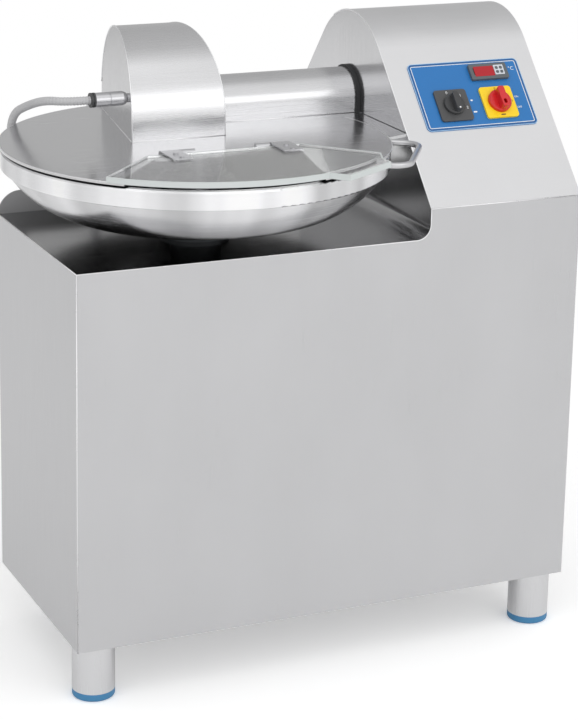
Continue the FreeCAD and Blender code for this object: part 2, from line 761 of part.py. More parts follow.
def bowl():
    """The bowl: a hub, a trough that follows the knives, and a thick turned rim."""
    body = bowl_body("bowl")
    sweep = s.knife_radius + s.knife_clearance
    under = sweep + s.bowl_wall
    crown = shaft_z - sweep + s.hub_height
    inner_rise = shaft_z - crown
    hub_in = s.trough_radius - root(sweep * sweep - inner_rise * inner_rise)
    trough = (s.trough_radius, shaft_z)
    wall = (wall_centre, wall_centre_z)
    band_outer = wall_centre + root(s.trough_curve * s.trough_curve - band_drop * band_drop)
    bore = s.bowl_shaft + s.fit
    boss_low = crown - s.hub_boss
    boss_drop = shaft_z - boss_low
    boss_out = s.trough_radius - root(under * under - boss_drop * boss_drop)
    outline = [(bore, boss_low), (boss_out, boss_low), Bend("left", trough),
               (s.trough_radius, bowl_low), (wall_centre, bowl_low), Bend("left", wall),
               (band_outer, band_z), (rim_outer, band_z), (rim_outer, rim_z),
               (rim_inner, rim_z), (rim_inner, band_z), Bend("right", wall),
               (wall_centre, bowl_floor), (s.trough_radius, bowl_floor), Bend("right", trough),
               (hub_in, crown), (bore, crown)]
    turn(body, outline)
    rim_height = rim_z.value
    low_height = band_z.value
    soften(body, s.rim_thick / 5, lambda edge: edge.BoundBox.ZLength < 0.01 and
           edge.Vertexes[0].X > rim_inner.value - 1 and
           (abs(edge.BoundBox.ZMin - rim_height) < 0.01 or
            (abs(edge.BoundBox.ZMin - low_height) < 0.01 and
             edge.Vertexes[0].X > rim_outer.value - 1)))
    return keep(body, "bowl")


def bowl_crown_z():
    return bowl_floor + s.hub_height


def bowl_drive():
    """The upright shaft, its bearing barrel through the deck, bushes, gearbox and motor."""
    crown = bowl_crown_z()
    barrel_top = crown - s.hub_boss - 6
    spigot = deck_z - s.sheet_gauge - 18
    bore = s.bowl_shaft + s.bush_wall + s.fit

    housing = bowl_body("bowl_bearing_housing")
    turn(housing, [(bore, spigot), (s.bearing_barrel, spigot), (s.bearing_barrel, deck_z),
                   (s.bearing_flange, deck_z), (s.bearing_flange, deck_z + 8),
                   (s.bearing_barrel, deck_z + 14), (s.bearing_barrel * 0.8, barrel_top),
                   (bore, barrel_top)])
    keep(housing, "bowl_bearing_housing")

    bushes = bowl_body("bowl_bushes")
    inner = s.bowl_shaft + s.fit
    outer = s.bowl_shaft + s.bush_wall
    turn(bushes, ring(inner, outer, spigot, spigot + 24))
    sketch = sketch_on(bushes, "XZ", 0, [ring(inner, outer, barrel_top - 24, barrel_top)])
    second = bushes.newObject("PartDesign::Revolution", "turned")
    second.Profile = sketch
    second.ReferenceAxis = (sketch, ["V_Axis"])
    second.Angle = 360
    keep(bushes, "bowl_bushes")

    gear_low = spigot - s.gearbox_height
    shaft = bowl_body("bowl_shaft")
    turn(shaft, [(0, gear_low + 12), (s.bowl_shaft, gear_low + 12), (s.bowl_shaft, crown),
                 (s.bowl_shaft - 4, crown), (s.bowl_shaft - 4, crown + 9), (0, crown + 9)])
    keep(shaft, "bowl_shaft")

    cap = bowl_body("bowl_cap_nut")
    turn(cap, [(s.bowl_shaft - 4 + s.fit, crown), (s.bowl_shaft + 6, crown),
               (s.bowl_shaft + 6, crown + 7), (s.bowl_shaft - 4, crown + 12), (0, crown + 12),
               (0, crown + 9 + s.fit), (s.bowl_shaft - 4 + s.fit, crown + 9 + s.fit)])
    keep(cap, "bowl_cap_nut")

    gearbox = bowl_body("bowl_gearbox")
    half = s.gearbox_side / 2
    prism(gearbox, "XY", [rounded_loop(-half, -half, half, half, half / 4)], gear_low, spigot)
    cut(gearbox, "XY", [Round(0, 0, s.bowl_shaft + s.air)], gear_low + 12 - s.air, spigot + 1)
    middle = gear_low + 44
    prism(gearbox, "YZ", [Round(0, middle, s.bowl_motor_radius * 0.8)], half - 1, half + 10)
    keep(gearbox, "bowl_gearbox")

    motor = new_body("bowl_motor", bowl_x, bowl_y, middle, Rotation(Vector(0, 1, 0), 90))
    start = half + 10
    end = start + s.bowl_motor_length
    turn(motor, [(0, start), (s.bowl_motor_radius, start), (s.bowl_motor_radius, start + 10),
                 (s.bowl_motor_radius * 0.92, start + 14), (s.bowl_motor_radius * 0.92, end - 40),
                 (s.bowl_motor_radius, end - 36), (s.bowl_motor_radius * 0.97, end), (0, end)])
    keep(motor, "bowl_motor")


KNIFE_POINT = 110
KNIFE_BELLY = 124
KNIFE_HEEL = -11.7
KNIFE_NAPE = 172


def polar(radius, angle):
    """A corner at a radius and an angle about the sketch's origin."""
    return (radius * math.cos(math.radians(angle)), radius * math.sin(math.radians(angle)))


def knife_level(number):
    """Where a knife's left face lies on the shaft, from the bowl's own plane."""
    return s.knife_pitch * (number - 1) - s.knife_shift - s.knife_thick / 2


def knives():
    """Three sickle knives, each turned a third of a turn on from the one before."""
    for number, name in enumerate(("knife_left", "knife_middle", "knife_right")):
        body = shaft_body(name, 120 * number)
        low = knife_level(number)
        high = low + s.knife_thick
        axis = (as_size(0), as_size(0))
        blade = [polar(s.knife_hub, KNIFE_HEEL), Bend("left", radius=s.knife_radius * 0.5926),
                 polar(s.knife_radius, KNIFE_POINT), Bend("left", axis),
                 polar(s.knife_radius, KNIFE_BELLY), Bend("right", radius=s.knife_radius * 0.85),
                 polar(s.knife_hub, KNIFE_NAPE), Bend("left", axis)]
        prism(body, "XY", [blade], low, high)
        cut(body, "XY", [Round(0, 0, s.shaft_radius + s.fit)], low - 1, high + 1)
        grind = low.value if number % 2 else high.value
        soften(body, s.knife_thick * 0.7, lambda edge: on_cutting_edge(edge, grind),
               "PartDesign::Chamfer")
        keep(body, name)


def on_cutting_edge(edge, level):
    """Whether an edge is the long curved one on the knife's ground side."""
    flat = edge.BoundBox.ZLength < 0.01 and abs(edge.BoundBox.ZMin - level) < 0.01
    if not flat or edge.Curve.TypeId != "Part::GeomCircle":
        return False
    return abs(edge.Curve.Radius - s.knife_radius.value * 0.5926) < 0.5


def knife_drive():
    """The shaft with its collar, spacers and nut, and the bearings in their fixed tube."""
    first = knife_level(0)
    bore = s.shaft_radius + s.fit
    thread = s.shaft_radius - 3

    shaft = shaft_body("knife_shaft")
    end = pulley_x + s.belt_width + 12
    turn(shaft, [(0, first - 14), (thread, first - 14), (thread, first), (s.shaft_radius, first),
                 (s.shaft_radius, head_end - 14), (s.stop_radius, head_end - 14),
                 (s.stop_radius, head_end), (s.shaft_radius, head_end), (s.shaft_radius, end),
                 (0, end)])
    keep(shaft, "knife_shaft")

    spacers = shaft_body("knife_spacers")
    for number in (0, 1):
        low = knife_level(number) + s.knife_thick
        high = knife_level(number + 1)
        prism(spacers, "XY", [Round(0, 0, s.knife_hub * 0.7)], low, high)
    cut(spacers, "XY", [Round(0, 0, bore)], first - 1, head_end)
    keep(spacers, "knife_spacers")

    nut = shaft_body("knife_nut")
    turn(nut, [(thread + s.fit, first), (s.shaft_radius + 8, first),
               (s.shaft_radius + 8, first - 4), (s.shaft_radius + 4, first - 6),
               (s.shaft_radius + 4, first - 16), (s.shaft_radius - 2, first - 20),
               (0, first - 20), (0, first - 14 - s.fit), (thread + s.fit, first - 14 - s.fit)])
    keep(nut, "knife_nut")

    tube = shaft_body("shaft_tube")
    turn(tube, [(s.bearing_radius, tube_start), (s.tube_radius, tube_start),
                (s.tube_radius, flange_x), (s.flange_radius, flange_x),
                (s.flange_radius, flange_x + s.flange_thick),
                (s.tube_radius, flange_x + s.flange_thick), (s.tube_radius, tube_end),
                (s.bearing_radius, tube_end)])
    cut(tube, "XY", flange_spots(as_size(0), as_size(0)), flange_x - 1,
        flange_x + s.flange_thick + 1)
    keep(tube, "shaft_tube")

    bearings = shaft_body("shaft_bearings")
    for low in (tube_start, tube_end - s.bearing_width):
        prism(bearings, "XY", [Round(0, 0, s.bearing_radius)], low, low + s.bearing_width)
    cut(bearings, "XY", [Round(0, 0, bore)], tube_start - 1, tube_end + 1)
    keep(bearings, "shaft_bearings")

    studs = shaft_body("flange_studs")
    pitch = (s.tube_radius + s.flange_radius) / 2
    pins = [Round(spot.across, spot.up, s.stud_radius)
            for spot in flange_spots(as_size(0), as_size(0))]
    nuts = [Round(spot.across, spot.up, s.stud_radius + 2)
            for spot in flange_spots(as_size(0), as_size(0))]
    top = flange_x + s.flange_thick
    prism(studs, "XY", pins, wall_in, top + 9)
    prism(studs, "XY", nuts, top, top + 5)
    keep(studs, "flange_studs")


def pulley(body, name, radius, bore, low):
    """A belt pulley with two thin flanges and a recessed web."""
    high = low + s.belt_width + 6
    rim = radius + s.belt_thick + 3
    turn(body, [(bore, low), (rim, low), (rim, low + 3), (radius, low + 3.4),
                (radius, high - 3.4), (rim, high - 3), (rim, high), (radius - 12, high),
                (radius - 12, high - 10), (bore + 14, high - 10), (bore + 14, high),
                (bore, high)])
    return keep(body, name)


def belt_drive():
    """Two pulleys, the belt around them, the motor, its shaft and its cradle."""
    driven = shaft_body("driven_pulley")
    pulley(driven, "driven_pulley", s.driven_radius, s.shaft_radius + s.fit, pulley_x)
    drive = motor_body("motor_pulley")
    pulley(drive, "motor_pulley", s.motor_pulley_radius, s.motor_shaft + s.fit, pulley_x)

    belt = new_body("drive_belt", bowl_x, front, 0)
    low = pulley_x + 3 + s.air * 2
    high = pulley_x + s.belt_width + 3 - s.air * 2
    loops = [belt_loop(s.belt_thick + s.air), belt_loop(s.air)]
    prism(belt, "YZ", loops, low, high)
    keep(belt, "drive_belt")

    shaft = motor_body("motor_shaft")
    turn(shaft, ring(as_size(0), s.motor_shaft, motor_end - 60, pulley_x + s.belt_width + 10))
    keep(shaft, "motor_shaft")

    motor = motor_body("knife_motor")
    start = motor_end - s.motor_length
    body_in = s.motor_radius * 0.94
    bore = s.motor_shaft + s.air
    turn(motor, [(0, start), (s.motor_radius * 0.8, start), (s.motor_radius, start + 14),
                 (s.motor_radius, start + 46), (body_in, start + 50), (body_in, motor_end - 30),
                 (s.motor_radius, motor_end - 26), (s.motor_radius, motor_end - 10),
                 (s.motor_radius * 0.7, motor_end), (bore, motor_end), (bore, motor_end - 61),
                 (0, motor_end - 61)])
    foot = box_loop(s.motor_radius * 0.7, -s.motor_radius * 0.85, s.motor_height,
                    s.motor_radius * 0.85)
    prism(motor, "XY", [foot], start + 54, motor_end - 36)
    keep(motor, "knife_motor")

    cradle = new_body("motor_cradle", bowl_x, front, 0)
    middle = motor_end - s.motor_length / 2
    low = base_z + s.floor_gauge
    top = low + s.cradle_height
    plate = s.cradle_plate
    x0 = middle - s.cradle_width / 2
    x1 = middle + s.cradle_width / 2
    shape = [(x0 - 30, low), (x0 + plate, low), (x0 + plate, top - plate),
             (x1 - plate, top - plate), (x1 - plate, low), (x1 + 30, low), (x1 + 30, low + plate),
             (x1, low + plate), (x1, top), (x0, top), (x0, low + plate), (x0 - 30, low + plate)]
    prism(cradle, "XZ", [shape], s.motor_in - s.motor_radius * 0.9,
          s.motor_in + s.motor_radius * 0.9)
    keep(cradle, "motor_cradle")


run_y = derive("run_y", s.bowl_from_front + s.trough_radius - s.motor_in)
run_z = derive("run_z", shaft_z - motor_z)
run_length = derive("run_length", root(run_y * run_y + run_z * run_z))
belt_sin = derive("belt_sin", (s.motor_pulley_radius - s.driven_radius) / run_length)
belt_cos = derive("belt_cos", root(1 - belt_sin * belt_sin))
along_y = derive("along_y", run_y / run_length)
along_z = derive("along_z", run_z / run_length)


def belt_loop(extra):
    """One face of the belt: two arcs about the pulleys joined by their tangents."""
    upper = (s.bowl_from_front + s.trough_radius, shaft_z)
    lower = (s.motor_in, motor_z)
    corners = {}
    for name, centre, radius in (("upper", upper, s.driven_radius + extra),
                                 ("lower", lower, s.motor_pulley_radius + extra)):
        right = (belt_sin * along_y + belt_cos * along_z, belt_sin * along_z - belt_cos * along_y)
        left_side = (belt_sin * along_y - belt_cos * along_z,
                     belt_sin * along_z + belt_cos * along_y)
        corners[name + "_right"] = (centre[0] + radius * right[0], centre[1] + radius * right[1])
        corners[name + "_left"] = (centre[0] + radius * left_side[0],
                                   centre[1] + radius * left_side[1])
    return [corners["upper_right"], Bend("left", upper), corners["upper_left"],
            corners["lower_left"], Bend("left", lower), corners["lower_right"]]


def service_screws():
    body = cabinet_body("service_screws")
    rear = s.cabinet_depth + s.sheet_gauge
    prism(body, "XZ", cover_screw_spots(s.screw_radius), s.cabinet_depth - 6, rear + 0.5)
    prism(body, "XZ", cover_screw_spots(s.screw_radius * 1.9), rear, rear + 2.4)
    return keep(body, "service_screws")


def hood_plan(name, inset):
    """The hood's plan: a front wider than the back, as an upright block."""
    body = bowl_body(name)
    side = inset / taper_cos
    low_y = hood_front
    high_y = hood_y + hood_radius
    run = hood_radius * 2 * taper_tan
    outline = [(side - s.hood_left, low_y), (s.hood_right - side, low_y),
               (s.hood_right - side - run, high_y), (side + run - s.hood_left, high_y)]
    prism(body, "XY", [outline], lid_low - 50, hood_z + hood_radius + 5)
    return body


def arch_block(name, radius, low):
    """An arch over the knives, drawn from the side and run across the bowl."""
    body = bowl_body(name)
    prism(body, "YZ", [arch(hood_y, radius, low, hood_z)], -s.hood_left - 20, s.hood_right + 20)
    return body


def hood():
    """The knife hood: bent sheet over an arch, two flat tapered sides, open below."""
    outer = joined("hood_outer", "Common", arch_block("arch_outer", hood_radius, lid_top),
                   hood_plan("plan_outer", as_size(0)))
    inner = joined("hood_inner", "Common",
                   arch_block("arch_inner", hood_radius - s.lid_wall, lid_top - 5),
                   hood_plan("plan_inner", s.lid_wall))
    shell = joined("hood_shell", "Cut", outer, inner)
    passage = bowl_body("hood_passage")
    half = shaft_cover - s.lid_wall
    prism(passage, "YZ", [arch(s.trough_radius, half, lid_top - 5, shaft_z)], 0, 90)
    return keep(joined("hood", "Cut", shell, passage), "hood")


def shaft_cover_piece():
    """The arched cover over the shaft's tube, from the hood to the console."""
    band = bowl_body("cover_band")
    half = shaft_cover
    loop = arch_band(s.trough_radius, half, half - s.lid_wall, lid_top, shaft_z)
    prism(band, "YZ", [loop], 10, wall_in - 8)
    keep(joined("shaft_cover", "Cut", band, hood_plan("plan_side", as_size(0))), "shaft_cover")
    seal = bowl_body("wall_seal")
    loop = arch_band(s.trough_radius, half + s.seal_lap, half - s.lid_wall * 1.5, lid_top, shaft_z)
    prism(seal, "YZ", [loop], wall_in - 8, wall_in - s.air)
    keep(seal, "wall_seal")


def lid_plate():
    """The flat lid with its bridge to the console, the loading mouth and the knife slot."""
    body = bowl_body("lid_plate")
    centre = (as_size(0), as_size(0))
    reach = wall_in - s.bridge_play
    front_x = root(lid_radius * lid_radius - s.bridge_front * s.bridge_front)
    rear_x = root(lid_radius * lid_radius - s.bridge_rear * s.bridge_rear)
    outline = [(front_x, -s.bridge_front), (reach, 14 - s.bridge_front), (reach, s.bridge_rear),
               (rear_x, s.bridge_rear), Bend("left", centre)]
    prism(body, "XY", [outline], lid_low, lid_top)
    drop = root(lid_radius * lid_radius - s.mouth_half * s.mouth_half)
    mouth = [(-s.mouth_half, -lid_radius - 5), (s.mouth_right, -lid_radius - 5),
             (s.mouth_right, -s.mouth_side), (s.mouth_rear_half, -s.mouth_rear),
             (-s.mouth_rear_half, -s.mouth_rear), (-s.mouth_half, -drop + 2)]
    cut(body, "XY", [mouth], lid_low - 1, lid_top + 1)
    ledge = s.lid_wall + s.slot_ledge
    side = ledge / taper_cos
    low_y = hood_front + ledge
    high_y = hood_y + hood_radius - ledge
    start = ledge * taper_tan + side
    run = start + (hood_radius - ledge) * 2 * taper_tan
    knife_slot = [(start - s.hood_left, low_y), (s.hood_right - start, low_y),
                  (s.hood_right - run, high_y), (run - s.hood_left, high_y)]
    cut(body, "XY", [knife_slot], lid_low - 1, lid_top + 1)
    half = shaft_cover - s.lid_wall - s.seal_lap
    tube_slot = box_loop(as_size(-20), s.trough_radius - half, reach + 1, s.trough_radius + half)
    cut(body, "XY", [tube_slot], lid_low - 1, lid_top + 1)
    return keep(body, "lid_plate")


def lid_handle():
    """A bent bar along the lid's right front edge."""
    turned = Rotation(Vector(0, 0, 1), -s.handle_angle.value)
    body = new_body("lid_handle", bowl_x, bowl_y, lid_top, turned)
    bar = s.handle_bar
    half = s.handle_half
    bend = s.handle_bend
    out = root(lid_radius * lid_radius - half * half) + s.handle_reach + bar
    start = lid_radius - 25
    mid = out - bend
    side = half + bar - bend
    outline = [(start, -half - bar), (mid, -half - bar), Bend("left", (mid, -side)),
               (out, -side), (out, side), Bend("left", (mid, side)), (mid, half + bar),
               (start, half + bar), (start, half - bar), (mid, half - bar),
               Bend("right", (mid, side)), (out - bar * 2, side), (out - bar * 2, -side),
               Bend("right", (mid, -side)), (mid, bar - half), (start, bar - half)]
    prism(body, "XY", [outline], -bar * 2, as_size(0))
    soften(body, bar * 0.8, lambda edge: edge.BoundBox.ZLength < 0.01 and
           edge.BoundBox.XMax > start.value + 1)
    cut(body, "XY", [Round(0, 0, lid_radius)], -bar * 2 - 1, as_size(1))
    return keep(body, "lid_handle")


def lid_hinge():
    """Two lugs on the lid, the pin, and the bracket on the cabinet's back."""
    lugs = bowl_body("lid_lugs")
    spot = (pivot_y, pivot_z)
    rise = lid_top - pivot_z
    dip = root(s.lug_radius * s.lug_radius - rise * rise)
    foot_y = hood_y + hood_radius + 3
    shape = [(foot_y, lid_top), (pivot_y - dip, lid_top), Bend("left", spot),
             (pivot_y, pivot_z + s.lug_radius), (foot_y + 6, pivot_z + s.lug_radius),
             (foot_y, lid_top + 4)]
    for low in (1 - s.hinge_half + s.air, s.hinge_half - 1 - s.air - s.lug_width):
        prism(lugs, "YZ", [shape], low, low + s.lug_width)
    cut(lugs, "YZ", [Round(pivot_y, pivot_z, s.pivot_radius + s.fit)], -s.hinge_half,
        s.hinge_half)
    keep(lugs, "lid_lugs")

    pin = new_body("lid_pin", bowl_x, bowl_y + pivot_y, pivot_z, Rotation(Vector(0, 1, 0), 90))
    end = s.hinge_half + s.cheek_width + 3
    turn(pin, [(0, -end - 4), (s.pivot_radius + 3, -end - 4), (s.pivot_radius + 3, -end + 3),
               (s.pivot_radius, -end + 3), (s.pivot_radius, end - 3),
               (s.pivot_radius + 3, end - 3), (s.pivot_radius + 3, end + 4), (0, end + 4)])
    keep(pin, "lid_pin")

    bracket = bowl_body("lid_bracket")
    back = s.cabinet_depth - s.bowl_from_front
    face = back + s.base_gauge
    high = deck_z + s.bracket_over
    base = box_loop(-s.bracket_foot / 2, back, s.bracket_foot / 2, face)
    prism(bracket, "XY", [base], bracket_z, high)
    cheek = [(face, bracket_z + s.cheek_in), (pivot_y + s.lug_radius, deck_z + s.cheek_low),
             (pivot_y + s.lug_radius, pivot_z), Bend("left", spot),
             (pivot_y - s.lug_radius, pivot_z), (pivot_y - s.lug_radius, deck_z + s.cheek_high),
             (face, high - s.cheek_in)]
    for low in (-s.hinge_half - s.cheek_width, as_size(0) + s.hinge_half):
        prism(bracket, "YZ", [cheek], low, low + s.cheek_width)
    cut(bracket, "YZ", [Round(pivot_y, pivot_z, s.pivot_radius)], -s.hinge_half - 20,
        s.hinge_half + 20)
    keep(bracket, "lid_bracket")


def clear_cover():
    """The clear loading cover, its two hinges and its gripping tab at the right front."""
    body = bowl_body("clear_cover")
    centre = (as_size(0), as_size(0))
    left_y = root(cover_radius * cover_radius - s.cover_left * s.cover_left)
    tab_y = root(cover_radius * cover_radius - s.tab_left * s.tab_left)
    outline = [(-s.cover_left, -left_y), Bend("left", centre), (s.tab_left, -tab_y),
               (s.tab_front, -s.tab_reach), (s.tab_right, -s.tab_right_in),
               (s.tab_right - 2, -s.tab_notch_in), (s.cover_right, -s.cover_right_in),
               (s.cover_rear_half, -s.cover_rear), (-s.cover_rear_half, -s.cover_rear)]
    prism(body, "XY", [outline], cover_low, cover_top)
    cut(body, "XY", leaf_screw_spots(as_size(2.5)), cover_top - 7, cover_top + 1)
    soften(body, as_size(1.2), lambda edge: edge.BoundBox.ZLength < 0.01 and
           abs(edge.BoundBox.ZMin - cover_top.value) < 0.01 and edge.Length > 20)
    return keep(body, "clear_cover")


def leaf_screw_spots(radius):
    """Two screws in each hinge leaf."""
    spots = []
    for x in (s.leaf_width / 2 - s.leaf_left, s.leaf_right + s.leaf_width / 2):
        for y in (-s.cover_rear - 12, -s.cover_rear - s.leaf_length + 22):
            spots.append(Round(x, y, radius))
    return spots


def cover_hinges():
    """Hinge leaves on the clear cover, posts on the lid, pins through both, and screws."""
    leaves = bowl_body("cover_leaves")
    top = cover_top + s.leaf_gauge
    knob = s.knuckle_radius
    spot = (knuckle_y, knuckle_z)
    end_y = knuckle_y - s.leaf_length
    rise = cover_top - knuckle_z
    dip = root(knob * knob - rise * rise)
    shape = [(end_y, cover_top), (knuckle_y - dip, cover_top), Bend("left", spot),
             (knuckle_y, top), (end_y, top)]
    for low in (-s.leaf_left, as_size(0) + s.leaf_right):
        prism(leaves, "YZ", [shape], low, low + s.leaf_width)
    cut(leaves, "YZ", [Round(knuckle_y, knuckle_z, s.pin_radius + s.fit)], -s.leaf_left - 1,
        s.leaf_right + s.leaf_width + 1)
    cut(leaves, "XY", leaf_screw_spots(as_size(2.5)), cover_top - 1, top + 1)
    keep(leaves, "cover_leaves")

    posts = bowl_body("cover_posts")
    post = arch(knuckle_y, knob, lid_top, knuckle_z)
    starts = (s.leaf_width + 1 - s.leaf_left, s.leaf_right - 1 - s.post_width)
    for low in starts:
        prism(posts, "YZ", [post], low, low + s.post_width)
    cut(posts, "YZ", [Round(knuckle_y, knuckle_z, s.pin_radius)], -s.leaf_left, s.leaf_right)
    keep(posts, "cover_posts")

    pins = bowl_body("cover_pins")
    pin = Round(knuckle_y, knuckle_z, s.pin_radius)
    prism(pins, "YZ", [pin], -s.leaf_left, starts[0] + s.post_width)
    prism(pins, "YZ", [pin], starts[1], s.leaf_right + s.leaf_width)
    keep(pins, "cover_pins")

    screws = bowl_body("cover_screws")
    prism(screws, "XY", leaf_screw_spots(as_size(2.5)), cover_top - 7, top + 0.5)
    prism(screws, "XY", leaf_screw_spots(as_size(4.5)), top, top + 2.2)
    keep(screws, "cover_screws")


probe_x = derive("probe_x", s.hood_left - (s.probe_in - hood_front) * taper_tan)


def probe():
    """The temperature probe in the hood's left side, with its collar."""
    turned = Rotation(Vector(0, 1, 0), -90)
    y = bowl_y + s.probe_in
    z = shaft_z + s.probe_up
    stem = new_body("probe_stem", bowl_x, y, z, turned)
    seat = probe_x
    turn(stem, [(0, seat - 8), (s.probe_neck, seat - 8), (s.probe_neck, seat + 5),
                (s.probe_radius - 2, seat + 8), (s.probe_radius, seat + 13),
                (s.probe_radius, seat + 36), (s.probe_radius - 1, seat + 36.5),
                (s.probe_radius - 1, seat + 38.5), (s.probe_radius, seat + 39),
                (s.probe_radius, seat + 63), (0, seat + 63)])
    keep(joined("probe", "Cut", stem, hood_plan("plan_probe", as_size(0))), "probe")
    collar = new_body("probe_collar", bowl_x, y, z, turned)
    turn(collar, [(0, seat + 63), (s.probe_radius + 0.4, seat + 63),
                  (s.probe_radius + 0.4, seat + 66), (s.probe_radius - 1, seat + 66.5),
                  (s.probe_radius - 1, seat + 68), (s.probe_radius + 0.4, seat + 68.5),
                  (s.probe_radius + 0.4, seat + 71), (0, seat + 71)])
    keep(collar, "probe_collar")


HOSE_BENDS = [(60.5, 222, 1010), (31, 252, 1009), (26, 330, 985), (25, 410, 955), (31, 450, 900),
              (58, 482, 845), (96, 504, 786), (117, 514, 734), (126, 488, 690)]


def hose():
    """The probe's hose, from its collar around the bowl to the gland in the back."""
    start = Vector((s.bowl_from_left - probe_x - 71).value,
                   (s.bowl_from_front + s.probe_in).value, (shaft_z + s.probe_up).value)
    end = Vector(s.gland_in.value, s.cabinet_depth.value + 12, gland_z.value)
    points = [start] + [Vector(*bend) for bend in HOSE_BENDS] + [end]
    points[1].z = start.z
    edges = []
    here = points[0]
    for number in range(1, len(points) - 1):
        before = points[number] - points[number - 1]
        after = points[number + 1] - points[number]
        half_turn = before.getAngle(after) / 2
        radius = 0.45 * min(before.Length, after.Length) / math.tan(half_turn)
        reach = radius * math.tan(half_turn)
        before.normalize()
        after.normalize()
        enter = points[number] - before * reach
        leave = points[number] + after * reach
        inward = (after - before).normalize()
        middle = points[number] + inward * (radius / math.cos(half_turn) - radius)
        edges.append(Part.LineSegment(here, enter).toShape())
        edges.append(Part.Arc(enter, middle, leave).toShape())
        here = leave
        print("hose bend", number, "radius", round(radius, 1))
    edges.append(Part.LineSegment(here, points[-1]).toShape())
    path = Part.Wire(edges)
    ring_wire = Part.Wire([Part.makeCircle(s.hose_radius.value, start, Vector(-1, 0, 0))])
    tube = path.makePipeShell([ring_wire], True, True)
    print("hose volume", tube.Volume, math.pi * s.hose_radius.value ** 2 * path.Length)
    item = doc.addObject("Part::Feature", "hose")
    item.Shape = tube
    place(item, left, front, 0)
    keep(item, "hose")
    gland = cabinet_body("hose_gland")
    depth = s.cabinet_depth
    spot = [Round(s.gland_in, gland_z, s.gland_radius)]
    prism(gland, "XZ", spot, depth - 12, depth + 1)
    wide = [Round(s.gland_in, gland_z, s.gland_radius + 5)]
    prism(gland, "XZ", wide, depth, depth + 12)
    prism(gland, "XZ", wide, depth - 9, depth - s.sheet_gauge)
    keep(gland, "hose_gland")


def slant_body(name, across=0, up=0):
    """A body on the console's slanted front: Z points out of the sheet."""
    tilt = Rotation(Vector(1, 0, 0), 90 - s.slant_angle.value)
    body = new_body(name, left + wall_x + across, front, fold_z, tilt)
    tie(body, "Placement.Rotation.Angle", 90 - s.slant_angle)
    body.Placement.Base.y = front.value
    lift = as_size(up)
    tie(body, "Placement.Base.y", front + lift * slant_sin)
    tie(body, "Placement.Base.z", fold_z + lift * slant_cos)
    body.Placement = Placement(
        Vector(body.Placement.Base.x, (front + lift * slant_sin).value,
               (fold_z + lift * slant_cos).value), tilt)
    return body


def rounded_plate(body, half_x, half_y, corner, low, high):
    return prism(body, "XY", [rounded_loop(-half_x, -half_y, half_x, half_y, corner)], low, high)


